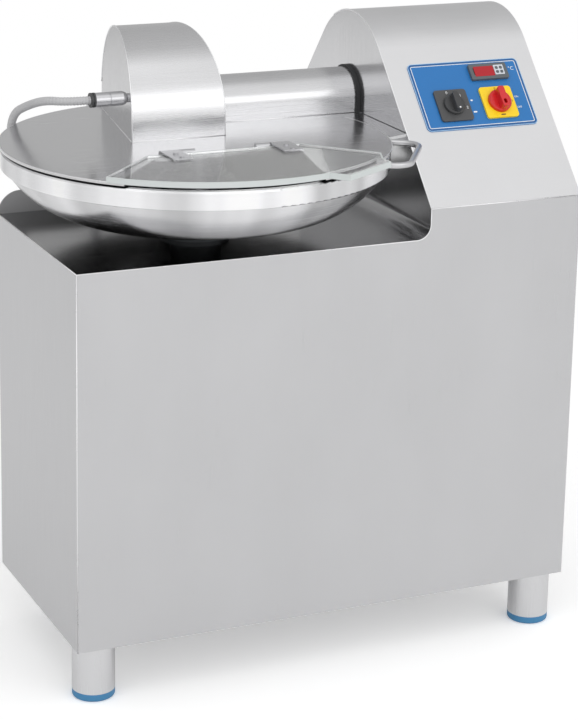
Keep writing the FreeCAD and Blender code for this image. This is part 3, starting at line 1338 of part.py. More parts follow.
def controls():
    """The label panel with two switches and the thermometer, all on the slanted front."""
    gauge = s.panel_gauge
    play = s.spindle_radius + s.hole_play
    panel = slant_body("control_panel")
    x0 = s.panel_side
    y0 = s.panel_up
    prism(panel, "XY", [rounded_loop(x0, y0, x0 + s.panel_width, y0 + s.panel_height,
                                     s.panel_corner)], as_size(0), gauge)
    cut(panel, "XY", [Round(s.switch_side, s.switch_up, play),
                      Round(s.mains_side, s.switch_up, play)], as_size(-1), gauge + 1)
    keep(panel, "control_panel")

    half = s.plate_side / 2
    plate_top = gauge + s.plate_gauge
    for name, across, kind in (("speed", s.switch_side, "speed_plate"),
                               ("mains", s.mains_side, "mains_plate")):
        plate = slant_body(kind, across, s.switch_up)
        rounded_plate(plate, half, half, half / 6, gauge, plate_top)
        cut(plate, "XY", [Round(0, 0, play)], gauge - 1, plate_top + 1)
        keep(plate, kind)

    blocks = slant_body("switch_blocks")
    for across in (s.switch_side, s.mains_side):
        edge = s.switch_body / 2
        prism(blocks, "XY", [box_loop(across - edge, s.switch_up - edge, across + edge,
                                      s.switch_up + edge)],
              -s.sheet_gauge - s.switch_depth, -s.sheet_gauge)
    cut(blocks, "XY", [Round(s.switch_side, s.switch_up, play),
                       Round(s.mains_side, s.switch_up, play)],
        -s.sheet_gauge - 24, -s.sheet_gauge + 1)
    keep(blocks, "switch_blocks")

    rest = plate_top + s.air
    spindle = s.spindle_radius
    knob = slant_body("speed_knob", s.switch_side, s.switch_up)
    wide = s.knob_radius
    turn(knob, [(0, -20), (spindle, -20), (spindle, rest), (wide, rest), (wide, rest + 5),
                (wide - 2, rest + 7), (0, rest + 7)])
    grip = rounded_loop(-wide * 0.28, -wide * 0.92, wide * 0.28, wide * 0.92, wide * 0.2)
    prism(knob, "XY", [grip], rest + 6, rest + 19)
    soften(knob, as_size(1.5), lambda edge: edge.BoundBox.ZLength < 0.01 and
           abs(edge.BoundBox.ZMin - (rest + 19).value) < 0.01)
    keep(knob, "speed_knob")

    handle = slant_body("mains_handle", s.mains_side, s.switch_up)
    wide = s.knob_radius + 2
    turn(handle, [(0, -20), (spindle, -20), (spindle, rest), (wide, rest), (wide, rest + 6),
                  (wide - 2, rest + 8), (0, rest + 8)])
    grip = rounded_loop(-wide * 0.3, -wide * 0.94, wide * 0.3, wide * 0.94, wide * 0.2)
    prism(handle, "XY", [grip], rest + 7, rest + 22)
    lock = rounded_loop(-wide * 0.14, -wide * 0.72, wide * 0.14, -wide * 0.3, wide * 0.1)
    cut(handle, "XY", [lock], rest + 9, rest + 23)
    soften(handle, as_size(1.5), lambda edge: edge.BoundBox.ZLength < 0.01 and
           abs(edge.BoundBox.ZMin - (rest + 22).value) < 0.01 and edge.Length > 6)
    keep(handle, "mains_handle")

    meter = slant_body("thermometer", s.meter_side, s.meter_up)
    wide = s.meter_width / 2
    tall = s.meter_height / 2
    rounded_plate(meter, wide, tall, tall / 6, gauge, gauge + s.meter_depth)
    window = rounded_loop(-wide * 0.82, -tall * 0.42, -wide * 0.08, tall * 0.5, tall / 10)
    cut(meter, "XY", [window], gauge + s.meter_depth - 2, gauge + s.meter_depth + 1)
    keep(meter, "thermometer")
    pane = slant_body("thermometer_window", s.meter_side, s.meter_up)
    prism(pane, "XY", [window], gauge + s.meter_depth - 2, gauge + s.meter_depth - 1)
    keep(pane, "thermometer_window")


def build():
    """Make every piece of the machine."""
    for make in (front_panel, left_panel, right_panel, console_wrap, deck, rear_panel,
                 service_cover, service_screws, bottom_plate, legs, inner_frame,
                 bowl, bowl_drive, knives, knife_drive, belt_drive, lid_plate, hood,
                 shaft_cover_piece, lid_handle, lid_hinge, clear_cover, cover_hinges, probe,
                 hose, controls):
        make()


def current_value(item, path):
    """What a bound property holds now."""
    if path.startswith("Constraints["):
        return item.Constraints[int(path[12:-1])].Value
    if path.endswith("Rotation.Angle"):
        holder = getattr(item, path.split(".")[0])
        return math.degrees(holder.Rotation.Angle)
    if ".Base." in path:
        holder = getattr(item, path.split(".")[0])
        return getattr(holder.Base, path[-1])
    return float(getattr(item, path))


def check_and_export():
    """Refuse a failed, empty or invalid piece, then write one file for each."""
    doc.recompute()
    for item in doc.Objects:
        if "Invalid" in item.State or "Error" in item.State:
            raise RuntimeError("%s failed: %s" % (item.Label, item.State))
    latest = {}
    for item, path, size in bound:
        latest[(item.Name, path)] = (item, path, size)
    for item, path, size in latest.values():
        found = current_value(item, path)
        if abs(abs(found) - abs(size.value)) > 1e-5:
            raise RuntimeError("%s %s is %s, not %s" % (item.Label, path, found, size.value))
    os.makedirs("parts", exist_ok=True)
    for item in parts:
        if item.Shape.isNull() or not item.Shape.isValid() or not item.Shape.Solids:
            raise RuntimeError("%s has no sound shape" % item.Label)
        item.Shape.exportStep("parts/%s.step" % item.Label)


build()
check_and_export()
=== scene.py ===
# %% [markdown]
# # A meat bowl cutter
#
# The machine stands on four round legs. A cabinet of brushed stainless sheet carries a wide
# turned bowl, a steel lid with a hood over the knives, a clear loading cover and a console
# with a blue switch panel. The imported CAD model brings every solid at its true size, so this
# notebook only dresses it: it makes the finishes, the fine pieces, the light and the camera.

import json
import math

import bpy
import numpy as np
from mathutils import Matrix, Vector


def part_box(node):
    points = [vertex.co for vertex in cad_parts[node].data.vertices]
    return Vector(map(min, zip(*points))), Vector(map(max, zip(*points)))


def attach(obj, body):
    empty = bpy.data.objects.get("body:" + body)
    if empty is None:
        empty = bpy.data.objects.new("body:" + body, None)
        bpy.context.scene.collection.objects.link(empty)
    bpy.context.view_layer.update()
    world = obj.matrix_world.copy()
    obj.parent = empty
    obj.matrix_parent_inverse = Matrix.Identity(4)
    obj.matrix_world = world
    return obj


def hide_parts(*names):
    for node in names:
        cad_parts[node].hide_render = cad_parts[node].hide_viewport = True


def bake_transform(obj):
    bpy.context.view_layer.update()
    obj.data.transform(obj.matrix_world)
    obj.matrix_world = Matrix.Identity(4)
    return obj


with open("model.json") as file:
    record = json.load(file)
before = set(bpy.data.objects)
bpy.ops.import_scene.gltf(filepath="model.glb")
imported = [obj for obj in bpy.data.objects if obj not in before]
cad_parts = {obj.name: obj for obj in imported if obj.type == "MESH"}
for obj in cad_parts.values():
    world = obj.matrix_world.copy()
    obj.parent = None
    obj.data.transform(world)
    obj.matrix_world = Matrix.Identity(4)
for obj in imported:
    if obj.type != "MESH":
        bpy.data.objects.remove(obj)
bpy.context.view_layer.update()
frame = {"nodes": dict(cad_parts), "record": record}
nodes = frame["nodes"]

# %% [markdown]
# ## Places that the dressing shares
#
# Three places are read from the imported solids. The cabinet's front left corner is the corner
# that the whole plan is measured from, the bowl's axis is the centre of its turned surfaces,
# and the knife shaft lies level in its tube. Sizes that no single solid shows are written
# below as named values, in metres.

# %% Read the shared places from the solids
front_low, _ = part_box("front_panel")
corner = np.array([front_low.x, front_low.y, 0.0])
bowl_low, bowl_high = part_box("bowl")
bowl_axis = np.array([(bowl_low.x + bowl_high.x) / 2, (bowl_low.y + bowl_high.y) / 2, 0.0])
tube_low, tube_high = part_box("shaft_tube")
shaft_axis = np.array([0.0, (tube_low.y + tube_high.y) / 2, (tube_low.z + tube_high.z) / 2])
print("bowl axis", bowl_axis.round(4), "shaft axis", shaft_axis.round(4))

# %% [markdown]
# ## Turning arrays into meshes
#
# A surface here is a grid of points: one parameter runs along the rows and one along the
# columns. The faces of a grid are always the same four neighbours, so one helper works them
# out for every piece, and another puts the arrays into a mesh. Two more read the points of a
# mesh back and turn a curve or letters into a mesh.

# %% Grid and mesh helpers
def grid_faces(rows, columns, wrap_rows=False, wrap_columns=False):
    """Faces of a grid: each joins a point with its right, upper right and upper neighbour."""
    row = np.arange(rows if wrap_rows else rows - 1)
    column = np.arange(columns if wrap_columns else columns - 1)
    row, column = (part.ravel() for part in np.meshgrid(row, column, indexing="ij"))
    next_row = (row + 1) % rows
    next_column = (column + 1) % columns
    return np.stack([row * columns + column, row * columns + next_column,
                     next_row * columns + next_column, next_row * columns + column], 1)


def add_piece(name, points, faces, material, smooth=True):
    """Puts points and faces into a mesh object that sits at the origin."""
    mesh = bpy.data.meshes.new(name)
    mesh.from_pydata(np.reshape(points, (-1, 3)).tolist(), [], [list(face) for face in faces])
    mesh.polygons.foreach_set("use_smooth", [smooth] * len(mesh.polygons))
    mesh.materials.append(material)
    mesh.validate()
    piece = bpy.data.objects.new(name, mesh)
    bpy.context.scene.collection.objects.link(piece)
    print(name, len(mesh.vertices), "points")
    return piece


def mesh_points(mesh):
    """A mesh's points as rows of x, y and z."""
    flat = np.empty(len(mesh.vertices) * 3)
    mesh.vertices.foreach_get("co", flat)
    return flat.reshape(-1, 3)


def mesh_of_curve(curve):
    """The mesh of a curve or of letters; what holds the curve for a moment is removed."""
    holder = bpy.data.objects.new(curve.name + "_outline", curve)
    mesh = bpy.data.meshes.new_from_object(holder)
    bpy.data.objects.remove(holder)
    return mesh


# %% [markdown]
# ## Shader nodes from a few helpers
#
# A finish is a small net of nodes. The same few joints come back in every net: a sum of two
# values, a step on vectors, noise at a place, and a colour that a factor darkens or lightens.
# Each joint gets a helper, so the groups below read almost like their formulas.

# %% Helpers for shader nodes
COLOUR, FLOAT, VECTOR = "NodeSocketColor", "NodeSocketFloat", "NodeSocketVector"
FINISH_RESULTS = [(COLOUR, "Colour"), (FLOAT, "Roughness"), (FLOAT, "Height")]
MID_GREY = (0.6, 0.6, 0.6, 1)


def new_group(name, inputs, outputs):
    """A shader group with named sockets; each input is (kind, name, default)."""
    group = bpy.data.node_groups.new(name, "ShaderNodeTree")
    for kind, label, default in inputs:
        socket = group.interface.new_socket(label, in_out="INPUT", socket_type=kind)
        socket.default_value = default
    for kind, label in outputs:
        group.interface.new_socket(label, in_out="OUTPUT", socket_type=kind)
    return group, group.nodes.new("NodeGroupInput"), group.nodes.new("NodeGroupOutput")


def feed(tree, value, socket):
    """Sets a socket to a number or a tuple, or joins it to another node's socket."""
    if isinstance(value, (int, float, tuple)):
        socket.default_value = value
    else:
        tree.links.new(value, socket)


def math_node(tree, operation, first, second):
    """Joins two values with one operation."""
    node = tree.nodes.new("ShaderNodeMath")
    node.operation = operation
    feed(tree, first, node.inputs[0])
    feed(tree, second, node.inputs[1])
    return node.outputs[0]


def vector_node(tree, operation, first, second=None):
    """One operation on vectors; a length or a dot product gives a plain value."""
    node = tree.nodes.new("ShaderNodeVectorMath")
    node.operation = operation
    feed(tree, first, node.inputs[0])
    if second is not None:
        feed(tree, second, node.inputs[1])
    return node.outputs["Value" if operation in ("LENGTH", "DOT_PRODUCT") else "Vector"]


def summed(tree, total, *parts):
    """The total plus each part's value times its weight."""
    for value, weight in parts:
        total = math_node(tree, "ADD", math_node(tree, "MULTIPLY", value, weight), total)
    return total


def object_place(tree):
    """The place of a surface point in the object's own coordinates."""
    return tree.nodes.new("ShaderNodeTexCoord").outputs["Object"]


def noise_node(tree, place, scale, detail, rough=0.5):
    """Noise at a place."""
    node = tree.nodes.new("ShaderNodeTexNoise")
    for label, value in (("Vector", place), ("Scale", scale), ("Detail", detail),
                         ("Roughness", rough)):
        feed(tree, value, node.inputs[label])
    return node.outputs["Fac"]


def stretched_noise(tree, stretch, detail, rough=0.6):
    """Noise over the object's own coordinates, each one times the stretch."""
    place = vector_node(tree, "MULTIPLY", object_place(tree), stretch)
    return noise_node(tree, place, 1.0, detail, rough)


def around_zero(tree, noise):
    """Noise less one half, so that it swings to both sides of zero."""
    return math_node(tree, "SUBTRACT", noise, 0.5)


def shade_colour(tree, colour, factor):
    """A colour times a factor that varies over the surface."""
    node = tree.nodes.new("ShaderNodeMix")
    node.data_type = "RGBA"
    node.blend_type = "MULTIPLY"
    node.inputs["Factor"].default_value = 1.0
    tree.links.new(colour, node.inputs["A"])
    tree.links.new(factor, node.inputs["B"])
    return node.outputs["Result"]


def give_finish(group, given, result, tone, rough, height):
    """Joins a finish group's results: its colour times the tone, roughness and height."""
    shaded = shade_colour(group, given.outputs["Colour"], tone)
    for label, value in (("Colour", shaded), ("Roughness", rough), ("Height", height)):
        group.links.new(value, result.inputs[label])
    print("group", group.name)


# %% [markdown]
# ## Brushed grain
#
# Stainless sheet is brushed: fine scratches run in one direction and stretch the reflections
# across them. A noise that is long along the grain and short across it gives such scratches.
# They change the colour a little, the roughness more, and the height just enough to catch
# light. The group is built once and each steel gets its own stretch and depth.

# %% The grain group
def grain_group():
    """Brushed scratches, with slow clouds where hands and cloths have passed."""
    scratch_gloss, cloud_gloss, cloud_tone = 0.35, 0.14, 0.10
    scratch_detail, cloud_detail, cloud_rough, clouds = 3.0, 4.0, 0.55, (5.0, 5.0, 3.0)
    group, given, result = new_group(
        "brushed_grain",
        [(COLOUR, "Colour", MID_GREY), (VECTOR, "Stretch", (400, 400, 4)),
         (FLOAT, "Roughness", 0.35), (FLOAT, "Depth", 0.1)], FINISH_RESULTS)
    scratches = stretched_noise(group, given.outputs["Stretch"], scratch_detail)
    swing = around_zero(group, scratches)
    drift = around_zero(group, stretched_noise(group, clouds, cloud_detail, cloud_rough))
    tone = summed(group, 1.0, (swing, given.outputs["Depth"]), (drift, cloud_tone))
    rough = summed(group, given.outputs["Roughness"], (swing, scratch_gloss),
                   (drift, cloud_gloss))
    give_finish(group, given, result, tone, rough, scratches)
    return group


brushed_grain = grain_group()

# %% [markdown]
# ## Lathe rings
#
# The bowl, the shafts and the bushes are turned or polished round their axis. Their scratches
# are rings: a noise that depends on the distance from the axis and on the place along it, and
# not on the angle. The same group serves an upright and a level axis, because the axis is an
# input.

# %% The ring group
def ring_group():
    """Noise at (distance from the axis, place along it), both times the pitch."""
    ring_gloss, cloud_gloss, cloud_tone = 0.3, 0.2, 0.12
    ring_detail, cloud_detail, clouds = 3.0, 4.0, (7.0, 7.0, 7.0)
    group, given, result = new_group(
        "lathe_rings",
        [(COLOUR, "Colour", MID_GREY), (VECTOR, "Centre", (0, 0, 0)),
         (VECTOR, "Across", (1, 1, 0)), (VECTOR, "Along", (0, 0, 1)), (FLOAT, "Pitch", 600.0),
         (FLOAT, "Roughness", 0.3), (FLOAT, "Depth", 0.1)], FINISH_RESULTS)
    offset = vector_node(group, "SUBTRACT", object_place(group), given.outputs["Centre"])
    across = vector_node(group, "MULTIPLY", offset, given.outputs["Across"])
    reach = vector_node(group, "LENGTH", across)
    along = vector_node(group, "DOT_PRODUCT", offset, given.outputs["Along"])
    place = group.nodes.new("ShaderNodeCombineXYZ")
    for socket, value in zip(place.inputs, (reach, along)):
        group.links.new(math_node(group, "MULTIPLY", value, given.outputs["Pitch"]), socket)
    rings = noise_node(group, place.outputs[0], 1.0, ring_detail)
    swing = around_zero(group, rings)
    drift = around_zero(group, stretched_noise(group, clouds, cloud_detail))
    tone = summed(group, 1.0, (swing, given.outputs["Depth"]), (drift, cloud_tone))
    rough = summed(group, given.outputs["Roughness"], (swing, ring_gloss), (drift, cloud_gloss))
    give_finish(group, given, result, tone, rough, rings)
    return group


lathe_rings = ring_group()

# %% [markdown]
# ## Painted light by height
#
# The bowl's underside is painted with shade: dark near its foot, which faces down and is seen in
# the deck's reflection, and paler on its shoulder. The rolled band at the rim is bright, partly
# from its polish and partly as a painted highlight, with a sharp line where the band starts.
# Light and dark streaks run up it as painted reflections. The group mixes three greys by height,
# and the noise is read on a circle round the axis, so that it changes with the angle alone.

# %% The group of painted shade, highlight and reflections by height
def height_group():
    """Painted light: soft from Foot to Shoulder, sharp at Line, times 1 + painted streaks round
    the axis.
    """
    line_width, streak_scale, streak_detail = 0.001, 2.6, 2.0
    group, given, result = new_group(
        "painted_light_by_height",
        [(COLOUR, "Low", (0.3, 0.3, 0.3, 1)), (COLOUR, "Middle", MID_GREY),
         (COLOUR, "High", (0.8, 0.8, 0.8, 1)), (FLOAT, "Foot", 0.82), (FLOAT, "Shoulder", 0.86),
         (FLOAT, "Line", 0.9), (VECTOR, "Centre", (0, 0, 0)), (VECTOR, "Turn", (1, 1, 0)),
         (FLOAT, "Streaks", 0.5)], [(COLOUR, "Colour")])
    place = object_place(group)
    split = group.nodes.new("ShaderNodeSeparateXYZ")
    group.links.new(place, split.inputs[0])
    line_end = math_node(group, "ADD", given.outputs["Line"], line_width)
    colour = given.outputs["Low"]
    for upper, low, high in (("Middle", given.outputs["Foot"], given.outputs["Shoulder"]),
                             ("High", given.outputs["Line"], line_end)):
        share = group.nodes.new("ShaderNodeMapRange")
        group.links.new(split.outputs["Z"], share.inputs["Value"])
        group.links.new(low, share.inputs["From Min"])
        group.links.new(high, share.inputs["From Max"])
        mix = group.nodes.new("ShaderNodeMix")
        mix.data_type = "RGBA"
        group.links.new(share.outputs["Result"], mix.inputs["Factor"])
        group.links.new(colour, mix.inputs["A"])
        group.links.new(given.outputs[upper], mix.inputs["B"])
        colour = mix.outputs["Result"]
    offset = vector_node(group, "SUBTRACT", place, given.outputs["Centre"])
    circle = vector_node(group, "NORMALIZE",
                         vector_node(group, "MULTIPLY", offset, given.outputs["Turn"]))
    streaks = around_zero(group, noise_node(group, circle, streak_scale, streak_detail))
    tone = summed(group, 1.0, (streaks, given.outputs["Streaks"]))
    group.links.new(shade_colour(group, colour, tone), result.inputs["Colour"])
    print("group", group.name)
    return group


painted_light_by_height = height_group()

# %% [markdown]
# ## Moulded speckle
#
# Rubber, moulded plastic and paint are never quite even. A fine speckle gives their skin a
# little tooth, and a slow cloud changes how far it shines.

# %% The speckle group
def speckle_group():
    """Fine tooth and slow clouds for moulded and painted skins."""
    cloud_gloss, tooth_detail, cloud_detail, clouds = 0.25, 2.0, 3.0, (30.0, 30.0, 30.0)
    group, given, result = new_group(
        "moulded_speckle",
        [(COLOUR, "Colour", MID_GREY), (FLOAT, "Grain", 900.0), (FLOAT, "Roughness", 0.5),
         (FLOAT, "Depth", 0.1)], FINISH_RESULTS)
    tooth = noise_node(group, object_place(group), given.outputs["Grain"], tooth_detail)
    swing = around_zero(group, tooth)
    drift = around_zero(group, stretched_noise(group, clouds, cloud_detail))
    tone = summed(group, 1.0, (swing, given.outputs["Depth"]), (drift, given.outputs["Depth"]))
    rough = summed(group, given.outputs["Roughness"], (drift, cloud_gloss))
    give_finish(group, given, result, tone, rough, tooth)
    return group


moulded_speckle = speckle_group()

# %% [markdown]
# ## The finishes
#
# One function per kind of finish places a group in a material and joins it to the shader.
# The steels differ in colour, grain direction and how far they are polished.

# %% Material makers
RELIEF, COAT_ROUGHNESS = 0.0003, 0.15
CLEAR_INDEX, CLEAR_HAZE, CLEAR_CLOUDS, CLEAR_DETAIL = 1.49, 0.08, (25.0, 25.0, 25.0), 4.0


def new_material(name, metallic=0.0):
    """An empty material with its Principled shader."""
    material = bpy.data.materials.new(name)
    material.use_nodes = True
    shader = material.node_tree.nodes["Principled BSDF"]
    shader.inputs["Metallic"].default_value = metallic
    return material, material.node_tree, shader


def use_group(tree, group, shader, values, bump):
    """Places a group, sets its inputs and joins colour, roughness and height."""
    node = tree.nodes.new("ShaderNodeGroup")
    node.node_tree = group
    for label, value in values.items():
        node.inputs[label].default_value = value
    tree.links.new(node.outputs["Colour"], shader.inputs["Base Color"])
    tree.links.new(node.outputs["Roughness"], shader.inputs["Roughness"])
    relief = tree.nodes.new("ShaderNodeBump")
    relief.inputs["Strength"].default_value = bump
    relief.inputs["Distance"].default_value = RELIEF
    tree.links.new(node.outputs["Height"], relief.inputs["Height"])
    tree.links.new(relief.outputs["Normal"], shader.inputs["Normal"])


def brushed_steel(name, colour, stretch, roughness, depth=0.12, bump=0.10):
    """Brushed stainless sheet whose grain follows the stretch."""
    material, tree, shader = new_material(name, metallic=1.0)
    use_group(tree, brushed_grain, shader,
              {"Colour": (*colour, 1), "Stretch": stretch, "Roughness": roughness,
               "Depth": depth}, bump)
    return material


def turned_steel(name, colour, centre, along, roughness, pitch=600.0, bump=0.12, depth=0.15):
    """Turned or polished steel with rings about an axis."""
    material, tree, shader = new_material(name, metallic=1.0)
    across = tuple(0.0 if value else 1.0 for value in along)
    use_group(tree, lathe_rings, shader,
              {"Colour": (*colour, 1), "Centre": tuple(centre), "Across": across,
               "Along": along, "Pitch": pitch, "Roughness": roughness, "Depth": depth}, bump)
    return material


def moulded(name, colour, roughness, grain=900.0, depth=0.12, bump=0.15, coat=0.0, metallic=0.0):
    """Rubber, plastic, paint or smooth metal with a fine tooth."""
    material, tree, shader = new_material(name, metallic)
    shader.inputs["Coat Weight"].default_value = coat
    shader.inputs["Coat Roughness"].default_value = COAT_ROUGHNESS
    use_group(tree, moulded_speckle, shader,
              {"Colour": (*colour, 1), "Grain": grain, "Roughness": roughness, "Depth": depth},
              bump)
    return material


def clear_plastic(name, tint):
    """Thick clear sheet with a faint tint, and a polish that varies a little."""
    material, tree, shader = new_material(name)
    shader.inputs["Base Color"].default_value = (*tint, 1)
    shader.inputs["Transmission Weight"].default_value = 1.0
    shader.inputs["IOR"].default_value = CLEAR_INDEX
    noise = stretched_noise(tree, CLEAR_CLOUDS, CLEAR_DETAIL)
    haze = math_node(tree, "MULTIPLY", noise, CLEAR_HAZE)
    tree.links.new(haze, shader.inputs["Roughness"])
    return material


# %% The machine's own finishes
STEEL = (0.580, 0.580, 0.590)
UPRIGHT, LEVEL_X = (0, 0, 1), (1, 0, 0)
UPRIGHT_GRAIN = (900.0, 900.0, 9.0)
SLANT_GRAIN = (9.0, 900.0, 900.0)
BLADE_GRAIN = (300, 20, 300)
FINE_PITCH = 1500.0
finishes = {
    "steel_sheet": brushed_steel("cabinet_steel", STEEL, UPRIGHT_GRAIN, 0.36, depth=0.06,
                                 bump=0.05),
    "steel_console": brushed_steel("console_steel", (0.73, 0.73, 0.74), SLANT_GRAIN, 0.38,
                                   depth=0.06, bump=0.05),
    "steel_bowl": turned_steel("bowl_steel", STEEL, bowl_axis, UPRIGHT, 0.22, FINE_PITCH,
                               bump=0.25, depth=0.08),
    "steel_machined": turned_steel("machined_steel", (0.55, 0.55, 0.565), shaft_axis, LEVEL_X,
                                   0.27, FINE_PITCH, bump=0.05, depth=0.06),
    "steel_blade": brushed_steel("blade_steel", (0.66, 0.66, 0.67), BLADE_GRAIN, 0.2),
    "grey_paint": moulded("motor_paint", (0.16, 0.18, 0.20), 0.45, coat=0.3),
    "cast_iron": moulded("cast_pulley", (0.09, 0.09, 0.095), 0.6, grain=400.0, metallic=0.6),
    "bronze": turned_steel("bush_bronze", (0.56, 0.36, 0.14), bowl_axis, UPRIGHT, 0.35),
    "blue_rubber": moulded("foot_rubber", (0.05, 0.22, 0.42), 0.5, depth=0.25),
    "black_rubber": moulded("seal_rubber", (0.02, 0.02, 0.022), 0.6),
    "blue_panel": moulded("panel_foil", (0.014, 0.165, 0.46), 0.42, grain=500.0, depth=0.05,
                          bump=0.03),
    "black_plastic": moulded("switch_black", (0.045, 0.046, 0.048), 0.42),
    "yellow_plastic": moulded("switch_yellow", (0.94, 0.66, 0.01), 0.4),
    "red_plastic": moulded("switch_red", (0.62, 0.008, 0.012), 0.35, coat=0.3),
    "red_display": moulded("display_red", (0.42, 0.0015, 0.010), 0.35),
    "clear_sheet": clear_plastic("clear_sheet", (0.975, 0.985, 0.98)),
    "grey_plastic": moulded("hose_grey", (0.50, 0.50, 0.51), 0.42, grain=600.0),
}
print(len(finishes), "finishes")

# %% Each node takes the finish of its slot
def dress(node, material):
    """Gives a CAD node one material."""
    nodes[node].data.materials.clear()
    nodes[node].data.materials.append(material)


for entry in frame["record"]["subparts"]:
    dress(entry["node"], finishes[entry["material_slot"]])

# %% [markdown]
# ## Finishes of single pieces
#
# The lid, the hood, the shaft's cover, the deck and the legs are brushed and polished in their
# own directions, and a few small pieces have a colour of their own, so they leave the slot's
# finish and take one made for them. On the bowl and the deck a colour by height then takes the
# place of the plain colour, and it holds painted shade, painted highlight and painted reflections.

# %% Finishes of single pieces
LID_GRAIN = (10.0, 900.0, 10.0)
HOOD_GRAIN = (8.0, 1100.0, 1100.0)
DECK_GRAIN = (9.0, 900.0, 9.0)
POLISHED, SATIN = (0.64, 0.64, 0.65), (0.62, 0.62, 0.63)
deck_steel = brushed_steel("deck_steel", STEEL, DECK_GRAIN, 0.17, depth=0.08, bump=0.05)
bezel_grey = moulded("bezel_grey", (0.10, 0.115, 0.125), 0.4)
own_finishes = {
    "lid_plate": brushed_steel("lid_steel", POLISHED, LID_GRAIN, 0.20, depth=0.08, bump=0.08),
    "hood": brushed_steel("hood_steel", POLISHED, HOOD_GRAIN, 0.27, depth=0.05, bump=0.05),
    "shaft_cover": brushed_steel("cover_steel", SATIN, HOOD_GRAIN, 0.24, depth=0.05, bump=0.05),
    "deck": deck_steel,
    "legs": brushed_steel("leg_steel", (0.68, 0.68, 0.69), UPRIGHT_GRAIN, 0.32, depth=0.06,
                          bump=0.05),
    "lid_handle": moulded("handle_steel", (0.60, 0.60, 0.61), 0.34, depth=0.05, metallic=1.0),
    "bowl_bearing_housing": moulded("housing_steel", (0.07, 0.074, 0.078), 0.4, depth=0.2,
                                    metallic=1.0),
    "thermometer": bezel_grey,
    "speed_plate": moulded("plate_grey", (0.07, 0.071, 0.073), 0.45),
}
for node, material in own_finishes.items():
    dress(node, material)
edge_steel = moulded("edge_steel", (0.84, 0.84, 0.85), 0.3, depth=0.04, metallic=1.0)
# Pale edge of the clear cover: partly the frosted cut, partly painted glow and highlight.
sawn_edge_and_painted_glow = moulded("sawn_edge_and_painted_glow", (0.60, 0.635, 0.63), 0.45, depth=0.05)
white_ink = moulded("white_ink", (0.86, 0.87, 0.88), 0.5, depth=0.04)
dark_ink = moulded("dark_ink", (0.02, 0.02, 0.02), 0.5, depth=0.04)
print(len(own_finishes), "nodes with a finish of their own")

# %% Painted shade, highlight and reflections by height on the bowl and the deck
# Bowl: the dark foot is painted shade, the bright band is partly polish and partly a painted
# highlight, and the streaks are painted reflections. Deck: the dark floor is a painted reflection
# of the bowl's shaded underside, with painted streaks round the bowl's axis.
BOWL_SHADE_AND_HIGHLIGHT_GREYS, BOWL_HEIGHTS, BOWL_REFLECTION_STREAKS = (0.07, 0.64, 0.80), (0.820, 0.858, 0.8945), -2.2
DECK_REFLECTED_SHADE_GREYS, DECK_HEIGHTS, DECK_REFLECTION_STREAKS = (0.32, 0.66, 0.66), (0.775, 0.81, 1.5), 0.2
COOL_TINT = 1.015


def tone_heights(material, greys, heights, streaks):
    """Puts the painted light group before the finish's own: three greys and three heights."""
    tree = material.node_tree
    finish_group = next(node for node in tree.nodes if node.type == "GROUP")
    tone = tree.nodes.new("ShaderNodeGroup")
    tone.node_tree = painted_light_by_height
    for label, level in zip(("Low", "Middle", "High"), greys):
        tone.inputs[label].default_value = (level, level, level * COOL_TINT, 1)
    for label, level in zip(("Foot", "Shoulder", "Line"), heights):
        tone.inputs[label].default_value = level
    tone.inputs["Centre"].default_value = tuple(bowl_axis)
    tone.inputs["Streaks"].default_value = streaks
    tree.links.new(tone.outputs["Colour"], finish_group.inputs["Colour"])
    print("tone by height on", material.name)


tone_heights(finishes["steel_bowl"], BOWL_SHADE_AND_HIGHLIGHT_GREYS, BOWL_HEIGHTS, BOWL_REFLECTION_STREAKS)
tone_heights(deck_steel, DECK_REFLECTED_SHADE_GREYS, DECK_HEIGHTS, DECK_REFLECTION_STREAKS)

# %% [markdown]
# ## The probe's hose
#
# A ribbed sleeve carries the probe's lead from the hood round the bowl to the back of the
# cabinet. Its line is a smooth curve that a few chosen points pull towards themselves. The ribs
# are the same tube with a radius that swings along the line, so one grid of rings makes the
# whole hose.

# %% Route of the hose
HOSE_POINTS = [(0.102615, 0.222, 1.010), (0.0605, 0.222, 1.010), (0.031, 0.252, 1.009),
               (0.026, 0.330, 0.985), (0.025, 0.410, 0.955), (0.031, 0.450, 0.900),
               (0.058, 0.482, 0.845), (0.096, 0.504, 0.786), (0.117, 0.514, 0.734),
               (0.126, 0.488, 0.690), (0.126, 0.437, 0.690)]
HOSE_DIAMETER = 0.015
RIB_PITCH = 0.0055
RINGS_PER_RIB = 6


def smooth_line(name, points):
    """Points along a smooth curve that is pulled towards each chosen point."""
    curve = bpy.data.curves.new(name, "CURVE")
    curve.dimensions = "3D"
    spline = curve.splines.new("NURBS")
    spline.points.add(len(points) - 1)
    flat = np.c_[points, np.ones(len(points))].ravel()
    spline.points.foreach_set("co", flat)
    spline.order_u = 3
    spline.use_endpoint_u = True
    spline.resolution_u = 24
    mesh = mesh_of_curve(curve)
    line = mesh_points(mesh)
    bpy.data.meshes.remove(mesh)
    return line


def even_line(line, step):
    """The same line with points an even step apart, and the length up to each of them."""
    reach = np.r_[0, np.cumsum(np.linalg.norm(np.diff(line, axis=0), axis=1))]
    at = np.linspace(0, reach[-1], int(reach[-1] / step) + 1)
    return np.stack([np.interp(at, reach, line[:, axis]) for axis in range(3)], 1), at


hose_line, hose_reach = even_line(smooth_line("hose_route", np.array(HOSE_POINTS) + corner),
                                  RIB_PITCH / RINGS_PER_RIB)
print("hose length", round(float(hose_reach[-1]), 4), "points", len(hose_line))

